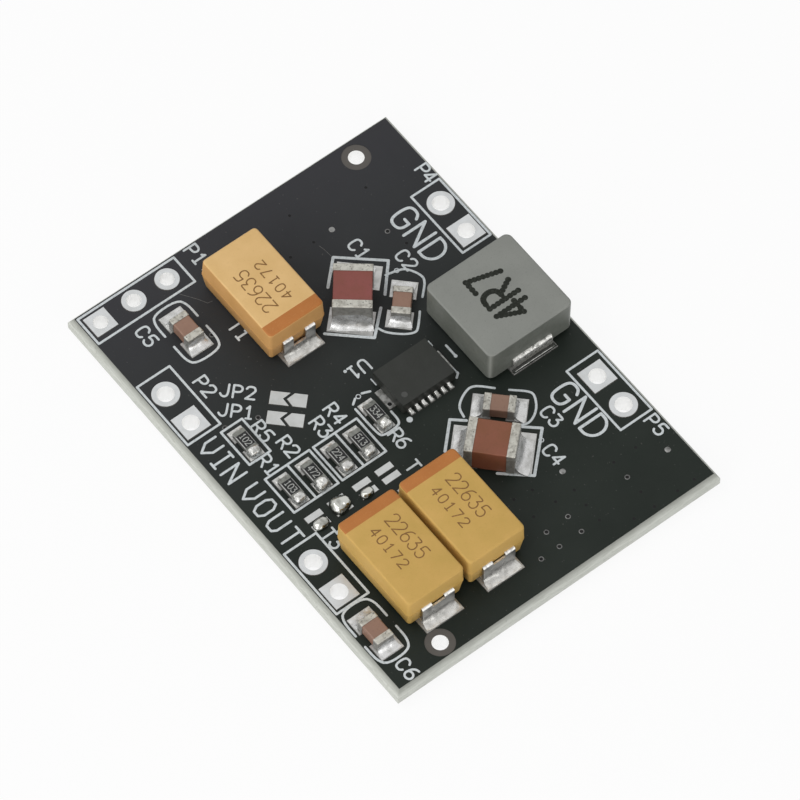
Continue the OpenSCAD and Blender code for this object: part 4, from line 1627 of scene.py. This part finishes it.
@dataclass
class TantalumCapacitor:
    """A moulded tantalum capacitor with its band, print and leads."""

    CORNER_STEPS: ClassVar[int] = 5
    LEAST_R: ClassVar[float] = 0.03
    CORNER_TAPER: ClassVar[float] = 0.3
    SIDE_FROM: ClassVar[float] = 0.55
    number: int
    anode: AnodeEnd
    top: Finish
    side: Finish
    draft_in: float = 0.045
    foot_in: float = 0.17
    foot_rise: float = 0.075
    seam: float = 0.06
    seam_proud: float = 0.012
    edge_r: float = 0.15
    corner_r: float = 0.28
    band: float = 0.86
    digits: tuple[str, str] = ("22635", "40172")
    print_sizes: tuple[Triple, Triple] = ((0.5, 0.92, 0.7), (0.42, 0.66, 0.68))
    print_rows: Point = (0.3, -0.92)
    print_stroke: float = 0.085
    print_shift: float = 0.2
    print_room: float = 0.006
    ink: float = 0.005
    name: str = field(init=False)
    box: NodeBox = field(init=False)

    def __post_init__(self) -> None:
        """Names the capacitor and reads its case's box from the frame."""
        self.name = f"tantalum_{self.number}"
        self.box = NodeBox(f"{self.name}_case")

    def build(self) -> None:
        """Makes the case and its print, and dresses the leads."""
        self._case()
        self._print()
        dress(LEAD, f"{self.name}_anode_lead", f"{self.name}_cathode_lead")

    def _ring(self, inset: float, z: float) -> list[Vector]:
        """Finds a level outline of the case, this far inside its widest one."""
        radius = max(self.LEAST_R, self.corner_r - inset * self.CORNER_TAPER)
        return self.box.ring(inset, radius, z, self.CORNER_STEPS)

    def _case(self) -> None:
        """Makes the drafted halves, the seam between them, the soft edges and the band."""
        bottom, top = self.box.low.z, self.box.high.z - self.print_room
        under, over = (self.box.middle.z + side * self.seam / 2 for side in (-1, 1))
        profile = [
            (self.foot_in + self.foot_rise, bottom),
            (self.foot_in, bottom + self.foot_rise),
            (self.seam_proud, under),
            (0.0, under),
            (0.0, over),
            (self.seam_proud, over),
        ]
        for step, down in soft_edge(self.edge_r + self.print_room, self.edge_r):
            profile.append((self.draft_in - self.print_room + step, top - down))
        draft = MeshDraft()
        draft.loft([self._ring(inset, z) for inset, z in profile])
        self._paint_band(draft.mesh, top)
        finishes = (self.top, BAND, self.side)
        draft.piece(f"{self.name}_moulding", finishes, "tantalum_resin", (f"{self.name}_case",))

    def _paint_band(self, mesh: bmesh.types.BMesh, top: float) -> None:
        """Splits the top where the band starts and gives the band its own finish.

        Args:
            mesh: The case.
            top: Height of the top face.
        """
        side = self.anode.value
        tip = (self.box.high.y if side > 0 else self.box.low.y) - side * self.draft_in
        line = Vector((0, tip - side * self.band, 0))
        whole = mesh.verts[:] + mesh.edges[:] + mesh.faces[:]
        bmesh.ops.bisect_plane(mesh, geom=whole, plane_co=line, plane_no=(0, 1, 0))
        for face in mesh.faces:
            centre = face.calc_center_median()
            if centre.z < top - self.edge_r * self.SIDE_FROM:
                face.material_index = CaseFace.SIDE
            elif (centre.y - line.y) * side > 0:
                face.material_index = CaseFace.BAND

    def _print(self) -> None:
        """Prints two lines of plain numbers beside the band."""
        draft = MeshDraft()
        pen = Pen(draft, self.print_stroke, self.box.high.z - self.print_room, self.ink)
        turn = Reading.TO_FRONT if self.anode is AnodeEnd.REAR else Reading.TO_REAR
        side = self.anode.value
        for text, shift, size in zip(self.digits, self.print_rows, self.print_sizes):
            start = self.box.middle.y + side * (len(text) * size[2] / 2 + self.print_shift)
            place = Placement(self.box.middle.x + side * shift, start, turn.value)
            for line in StrokeFont.lines(text, place, size):
                pen.stroke(line)
        draft.piece(f"{self.name}_print", (CASE_INK,))


@dataclass
class TantalumJoints:
    """Solder at the leads of the three tantalum capacitors."""

    face: BoardFace
    lead_out: float = 0.19
    joint: Fillet = Fillet(toe=0.66, width=2.44, climb=0.46, foot=2.7)

    def build(self) -> None:
        """Adds a joint at both ends of each capacitor."""
        draft = MeshDraft()
        for number in (1, 2, 3):
            for place in NodeBox(f"tantalum_{number}_case").ends(self.lead_out):
                self.joint.add(draft, place, self.face.land_z)
        draft.piece("tantalum_joints", (TAB_SOLDER,), "solder", ("tantalum_solder",))


class CoreFace(IntEnum):
    """Material indices of the inductor's core."""

    TOP = 0
    SIDE = 1


class JointMetal(IntEnum):
    """Material indices of the inductor's joints."""

    FILLET = 0
    RIM = 1


@dataclass
class PowerInductor:
    """A moulded power inductor: pressed core, mark, strip leads and joints."""

    CORNER_STEPS: ClassVar[int] = 11
    SIDE_FROM: ClassVar[float] = 0.8
    # painted highlight on the corners: its share at a corner's middle and how fast it falls off
    CORNER_HIGHLIGHT: ClassVar[float] = 0.75
    CORNER_HIGHLIGHT_FALL: ClassVar[float] = 0.3
    DOT_SIDES: ClassVar[int] = 12
    face: BoardFace
    corner_r: float = 0.45
    edge_r: float = 0.13
    mark: str = "4R7"
    mark_size: Triple = (0.98, 2.2, 1.4)
    mark_stroke: float = 0.273
    mark_dot_r: float = 0.195
    mark_dot_step: float = 0.3
    mark_at: Point = (1.1, -1.88)
    mark_room: float = 0.008
    ink: float = 0.007
    lead_out: float = 0.22
    joint: Fillet = Fillet(toe=0.24, width=3.28, climb=0.24, foot=3.36, hollow=0.8)
    rim: Bead = Bead(length=3.3, breadth=0.075, height=0.085, square=6)
    rim_out: float = 0.13
    box: NodeBox = field(init=False)

    def __post_init__(self) -> None:
        """Reads the core's box from the frame."""
        self.box = NodeBox("inductor_core")

    def build(self) -> None:
        """Makes the core, its mark and its joints, and dresses the leads."""
        top = self.box.high.z - self.mark_room
        self._core(top)
        self._mark(top)
        self._joints()
        dress(STRIP, "inductor_rear_lead", "inductor_front_lead")

    def _core(self, top: float) -> None:
        """Makes the core with soft edges, a painted highlight on its corners, and sides painted darker as
        shade.

        Args:
            top: Height of the top face.
        """
        bottom = self.box.low.z
        profile = [(self.edge_r, bottom), (0.0, bottom + self.edge_r)]
        profile += [(step, top - down) for step, down in soft_edge(self.edge_r, self.edge_r)]
        draft = MeshDraft()
        rings = [self.box.ring(inset, self.corner_r - inset, z, self.CORNER_STEPS) for inset, z in profile]
        draft.loft(rings)
        # painted highlight: a share stored in the mesh that peaks at the middle of each rounded corner
        wear = draft.mesh.verts.layers.float.new(CornerHighlightFinish.CORNER_HIGHLIGHT)
        draft.mesh.verts.index_update()
        for corner in draft.mesh.verts:
            steps = abs(corner.index % self.CORNER_STEPS - self.CORNER_STEPS // 2)
            corner[wear] = max(0.0, self.CORNER_HIGHLIGHT - self.CORNER_HIGHLIGHT_FALL * steps)
        # the sides take the darker copy of the iron powder, which is painted shade
        for face in draft.mesh.faces:
            if face.calc_center_median().z < top - self.edge_r * self.SIDE_FROM:
                face.material_index = CoreFace.SIDE
        draft.piece("inductor_moulding", (IRON, SHADED_IRON_SIDE), "pressed_iron", ("inductor_core",))

    def _mark(self, top: float) -> None:
        """Prints the value in rows of dots that run together.

        Args:
            top: Height of the top face.
        """
        draft = MeshDraft()
        pen = Pen(draft, self.mark_stroke, top, self.ink)
        right, rear = self.mark_at
        place = Placement(self.box.middle.x + right, self.box.middle.y + rear, Reading.TO_REAR.value)
        for line in StrokeFont.lines(self.mark, place, self.mark_size):
            pen.stroke(line)
            for a, b in zip(line, line[1:]):
                count = max(1, round((b - a).length / self.mark_dot_step))
                for k in range(count + 1):
                    pen.dot(a.lerp(b, k / count), self.mark_dot_r, self.DOT_SIDES)
        draft.piece("inductor_mark", (CORE_INK,))

    def _joints(self) -> None:
        """Adds the solder at both strip leads."""
        draft = MeshDraft()
        z = self.face.land_z
        for place in self.box.ends(self.lead_out):
            self.joint.add(draft, place, z)
            self.rim.add(draft, Placement(*place.point(self.rim_out, 0)), z, JointMetal.RIM)
        # the fillets are painted near black as shade; the beads along the edges stay bright
        draft.piece("inductor_joints", (SHADED_SOLDER, FRESH_SOLDER), "solder", ("inductor_solder",))


@dataclass
class ConverterChip:
    """The flat converter chip with its pin mark and the solder at its leads."""

    face: BoardFace
    pins: int = 7
    pitch: float = 0.5
    joint: Fillet = Fillet(toe=0.34, width=0.23, climb=0.17, foot=0.23, hollow=0.1, shoulder=0.6)
    dot_at: Point = (0.55, 0.6)
    dot_r: float = 0.2
    dot_sunk: float = 0.01
    dot_film: float = 0.003

    def build(self) -> None:
        """Dresses the chip and adds its mark and joints."""
        dress(CHIP, "converter_case")
        dress(LEAD, "converter_leads")
        dress(TINNED, "converter_thermal_pad")
        dress(STAINED_LAND, "converter_lands")
        case = NodeBox("converter_case")
        dot = MeshDraft()
        top = case.high.z
        dot.disc(case.low.xy + Vector(self.dot_at), self.dot_r, top - self.dot_sunk, top + self.dot_film)
        dot.piece("converter_pin_mark", (DOT_INK,))
        joints = MeshDraft()
        for i in range(self.pins):
            for place in case.ends(shift=(i - (self.pins - 1) / 2) * self.pitch):
                self.joint.add(joints, place, self.face.land_z)
        joints.piece("converter_joints", (FRESH_SOLDER,), "solder", ("converter_solder",))


@dataclass(frozen=True)
class CeramicChip:
    """A ceramic capacitor: its nodes, turn, and solder toes at its right-hand and left-hand end."""

    JOINT_SHARE: ClassVar[float] = 0.97
    SHOULDER: ClassVar[float] = 0.75
    name: str
    turn: float
    toes: Point
    finish: Finish
    length: float = 2.0
    width: float = 1.25
    climb: float = 0.6
    foot: float = 1.58

    def build(self, draft: MeshDraft, land_z: float) -> None:
        """Dresses the capacitor and adds its joints.

        Args:
            draft: Mesh that takes the joints.
            land_z: Height of the lands.
        """
        dress(self.finish, f"{self.name}_ceramic")
        dress(TERMINATION, f"{self.name}_ends")
        middle = NodeBox(f"{self.name}_ends").middle
        for toe, turn in zip(self.toes, (self.turn, self.turn + 180)):
            end = Placement(middle.x, middle.y, turn).point(self.length / 2, 0)
            joint = Fillet(toe, self.width * self.JOINT_SHARE, self.climb, self.foot, shoulder=self.SHOULDER)
            joint.add(draft, Placement(*end, turn), land_z)


@dataclass
class CeramicCapacitors:
    """The two large and four small ceramic capacitors."""

    face: BoardFace
    chips: tuple[CeramicChip, ...] = (
        CeramicChip("large_cap_1", 51.0, (1.0, 0.5), CERAMIC, 3.2, 2.5, 1.1, 2.78),
        CeramicChip("large_cap_2", -47.0, (0.86, 0.84), TAN_CERAMIC, 3.2, 2.5, 1.1, 2.5),
        CeramicChip("small_cap_1", 47.0, (0.84, 0.47), PALE_CERAMIC),
        CeramicChip("small_cap_2", -45.0, (0.67, 0.69), PALE_CERAMIC),
        CeramicChip("small_cap_3", 90.0, (0.8, 0.56), PALE_CERAMIC),
        CeramicChip("small_cap_4", 90.0, (0.78, 0.58), PALE_CERAMIC),
    )

    def build(self) -> None:
        """Dresses the capacitors and adds their joints."""
        draft = MeshDraft()
        for chip in self.chips:
            chip.build(draft, self.face.land_z)
        draft.piece("capacitor_joints", (SOLDER,), "solder", ("capacitor_solder",))
        dress(LAND, "capacitor_lands")


@dataclass
class ChipResistors:
    """The six chip resistors with their codes, joints at the rear and blobs of solder at the front."""

    face: BoardFace
    codes: tuple[str, ...] = ("103", "472", "224", "513", "102", "334")
    code_size: Triple = (0.22, 0.42, 0.295)
    code_stroke: float = 0.05
    ink: float = 0.004
    joint: Fillet = Fillet(toe=0.38, width=0.78, climb=0.24, foot=0.94, hollow=0.4)
    blobs: tuple[Point, ...] = (
        (0.94, 0.76),
        (1.0, 0.9),
        (0.96, 0.78),
        (0.94, 0.74),
        (0.92, 0.74),
        (0.94, 0.78),
    )
    blob_h: float = 0.53
    blob_uneven: float = 0.22
    blob_square: float = 3.4
    blob_steep: float = 0.55
    blob_out: float = 0.05

    def build(self) -> None:
        """Dresses the resistors and adds their codes and joints."""
        codes, joints = MeshDraft(), MeshDraft()
        pen = Pen(codes, self.code_stroke, NodeBox("resistor_overcoats").high.z, self.ink)
        width, height, pitch = self.code_size
        z = self.face.land_z
        for number, (code, size) in enumerate(zip(self.codes, self.blobs), 1):
            dress(ALUMINA, f"resistor_{number}_substrate")
            dress(RESISTOR_END, f"resistor_{number}_ends")
            box = NodeBox(f"resistor_{number}_ends")
            run = (len(code) - 1) * pitch + width
            place = Placement(box.middle.x - height / 2, box.middle.y + run / 2, Reading.TO_FRONT.value)
            for line in StrokeFont.lines(code, place, self.code_size):
                pen.stroke(line)
            self.joint.add(joints, box.ends()[0], z)
            front = Placement(box.middle.x, box.low.y - self.blob_out)
            blob = Bead(*size, self.blob_h, self.blob_uneven, self.blob_square, self.blob_steep)
            blob.add(joints, front, z)
        codes.piece("resistor_codes", (CODE_INK,))
        joints.piece("resistor_joints", (FRESH_SOLDER,), "solder", ("resistor_solder",))
        dress(GLAZE, "resistor_overcoats")
        dress(LAND, "resistor_lands")


@dataclass
class SolderJumpers:
    """The open jumper lands and the beads on three of them.

    Each bead has its shift from the middle of the front land in its column.
    """

    face: BoardFace
    land_breadth: float = 0.44
    beads: tuple[tuple[Bead, Point], ...] = (
        (Bead(1.12, 0.8, 0.3, uneven=0.1, steep=0.65), (0.0, 0.0)),
        (Bead(1.34, 1.26, 0.46, uneven=0.4, steep=0.6), (0.0, 0.34)),
        (Bead(0.98, 0.72, 0.3, uneven=0.4, steep=0.65), (-0.14, 0.0)),
    )

    def build(self) -> None:
        """Dresses the lands and adds the beads in line with the resistors behind them."""
        dress(TINNED, "jumper_lands")
        near = NodeBox("jumper_lands").low.y + self.land_breadth / 2
        draft = MeshDraft()
        for number, (bead, (right, rear)) in enumerate(self.beads, 1):
            column = NodeBox(f"resistor_{number}_ends").middle.x
            bead.add(draft, Placement(column + right, near + rear), self.face.land_z)
        draft.piece("jumper_beads", (BEAD_SOLDER,), "solder", ("jumper_solder",))


@dataclass
class Board:
    """The bare board: laminate, solder mask, plated holes, power lands and tooling holes."""

    SIDES: ClassVar[int] = 48
    face: BoardFace
    plated: tuple[str, ...] = (
        "input_terminal_holes",
        "input_ground_holes",
        "output_terminal_holes",
        "output_ground_holes",
        "control_header_holes",
    )
    tooling_at: tuple[Point, Point] = ((20.9, 1.21), (3.85, 31.42))
    tooling_r: float = 0.52
    sleeve_sunk: float = 0.004
    sleeve_t: float = 0.012
    sleeve_inset: float = 0.01

    def build(self) -> None:
        """Dresses the board's CAD nodes and gives its tooling holes a thin sleeve of painted light, near
        white.
        """
        dress(LAMINATE, "board_laminate")
        dress(MASK, "top_solder_mask", "bottom_solder_mask")
        dress(PLATED, *self.plated)
        dress(LAND, "power_lands")
        core = NodeBox("board_laminate")
        outer, inner = self.tooling_r + self.sleeve_sunk, self.tooling_r - self.sleeve_t
        bottom, top = core.low.z + self.sleeve_inset, core.high.z - self.sleeve_inset
        draft = MeshDraft()
        for centre in self.face.points(self.tooling_at):
            draft.hoop(centre, ((outer, bottom), (outer, top), (inner, top), (inner, bottom)), self.SIDES)
        draft.piece("tooling_hole_painted_light_sleeves", (PAINTED_LIGHT_SLEEVE,), "laminate")


@dataclass(frozen=True)
class SoftBox:
    """A square lamp that looks at the board; its level is the light that it lays on a face turned to it."""

    name: str
    place: Triple
    side: float
    level: float

    def build(self) -> None:
        """Makes the lamp."""
        lamp = bpy.data.lights.new(self.name, "AREA")
        lamp.shape = "SQUARE"
        lamp.size = self.side
        place = Vector(self.place)
        lamp.energy = self.level * math.pi**2 * place.length_squared
        made = bpy.data.objects.new(self.name, lamp)
        made.location = place
        made.rotation_euler = (-place).to_track_quat("-Z", "Y").to_euler()
        bpy.context.collection.objects.link(made)


@dataclass
class Studio:
    """Pale floor, soft light and the camera, in metres."""

    floor_side: float = 3.0
    floor_drop: float = 0.00003
    floor_tone: float = 0.92
    floor_rough: float = 0.9
    floor_glow: float = 0.9
    sky_level: float = 0.46
    lamps: tuple[SoftBox, ...] = (
        SoftBox("overhead_lamp", (-0.2, 0.16, 0.42), 0.34, 0.27),
        SoftBox("left_lamp", (-0.36, -0.12, 0.2), 0.26, 0.29),
        SoftBox("front_lamp", (-0.02, -0.4, 0.18), 0.26, 0.175),
    )
    camera_at: Triple = (-0.122707, -0.154503, 0.333552)
    aim_at: Triple = (0.000207, -0.000539, 0.0016)
    roll: float = 0.80
    lens: float = 285.57
    sensor: float = 36.0
    clip_start: float = 0.01

    def build(self) -> None:
        """Sets up the floor, the light and the camera."""
        bpy.context.scene.view_settings.view_transform = "Standard"
        self._floor()
        self._sky()
        for lamp in self.lamps:
            lamp.build()
        self._camera()

    def _show(self, graph: NodeGraph, lit: Socket, shown: Socket, share: float, output: str) -> None:
        """Shows one surface to the camera, reflections and glass, where another takes part in the light.

        Args:
            graph: Nodes that take the mix.
            lit: Surface that takes part in the light.
            shown: Surface that is shown.
            share: How much of it is shown.
            output: Name of the output node.
        """
        rays = graph.tree.nodes.new("ShaderNodeLightPath").outputs
        seen = rays["Is Camera Ray"]
        for name in ("Is Glossy Ray", "Is Transmission Ray"):
            seen = graph.node("Math", {0: seen, 1: rays[name]}, operation="MAXIMUM")
        seen = graph.node("Math", {0: seen, 1: share}, operation="MULTIPLY")
        mixed = graph.node("MixShader", {0: seen, 1: lit, 2: shown})
        graph.fill(graph.tree.nodes[output], {"Surface": mixed})

    def _floor(self) -> None:
        """Lays the floor, which shows white and keeps a soft shadow."""
        half = self.floor_side / 2
        corners = ((-half, -half), (half, -half), (half, half), (-half, half))
        mesh = bpy.data.meshes.new("floor")
        mesh.from_pydata([(x, y, -self.floor_drop) for x, y in corners], [], [(0, 1, 2, 3)])
        floor = bpy.data.objects.new("floor", mesh)
        bpy.context.collection.objects.link(floor)
        material = bpy.data.materials.new("pale_floor")
        graph = NodeGraph(material)
        shader = graph.tree.nodes["Principled BSDF"]
        tone = (self.floor_tone, self.floor_tone, self.floor_tone, 1)
        graph.fill(shader, {"Base Color": tone, "Roughness": self.floor_rough, "Specular IOR Level": 0.0})
        self._show(graph, shader.outputs[0], graph.node("Emission", {}), self.floor_glow, "Material Output")
        mesh.materials.append(material)

    def _sky(self) -> None:
        """Gives the room its even light and a white backdrop."""
        world = bpy.data.worlds.new("studio")
        bpy.context.scene.world = world
        graph = NodeGraph(world)
        room = graph.tree.nodes["Background"]
        white = (1, 1, 1, 1)
        graph.fill(room, {"Color": white, "Strength": self.sky_level})
        self._show(graph, room.outputs[0], graph.node("Background", {"Color": white}), 1.0, "World Output")

    def _camera(self) -> None:
        """Places the camera at the photograph's angle."""
        lens = bpy.data.cameras.new("camera")
        lens.lens = self.lens
        lens.sensor_width = self.sensor
        lens.clip_start = self.clip_start
        camera = bpy.data.objects.new("camera", lens)
        place = Vector(self.camera_at)
        aim = (Vector(self.aim_at) - place).to_track_quat("-Z", "Y").to_matrix()
        turned = aim @ Matrix.Rotation(math.radians(self.roll), 3, "Z")
        camera.matrix_world = Matrix.Translation(place) @ turned.to_4x4()
        bpy.context.collection.objects.link(camera)
        bpy.context.scene.camera = camera


def main() -> None:
    """Builds the module and the studio round it."""
    logging.basicConfig(level=logging.INFO, format="%(message)s")
    face = BoardFace()
    for assembly in (
        Board(face),
        Legend(face),
        Vias(face),
        # painted light on the top of the first capacitor and painted shade on its sides
        TantalumCapacitor(1, AnodeEnd.FRONT, LIT_TOP_TANTALUM, SHADED_SIDE_TANTALUM, draft_in=0.08),
        TantalumCapacitor(2, AnodeEnd.REAR, TANTALUM, TANTALUM),
        TantalumCapacitor(3, AnodeEnd.REAR, TANTALUM, TANTALUM),
        TantalumJoints(face),
        PowerInductor(face),
        ConverterChip(face),
        CeramicCapacitors(face),
        ChipResistors(face),
        SolderJumpers(face),
        Studio(),
    ):
        assembly.build()


if __name__ == "__main__":
    main()
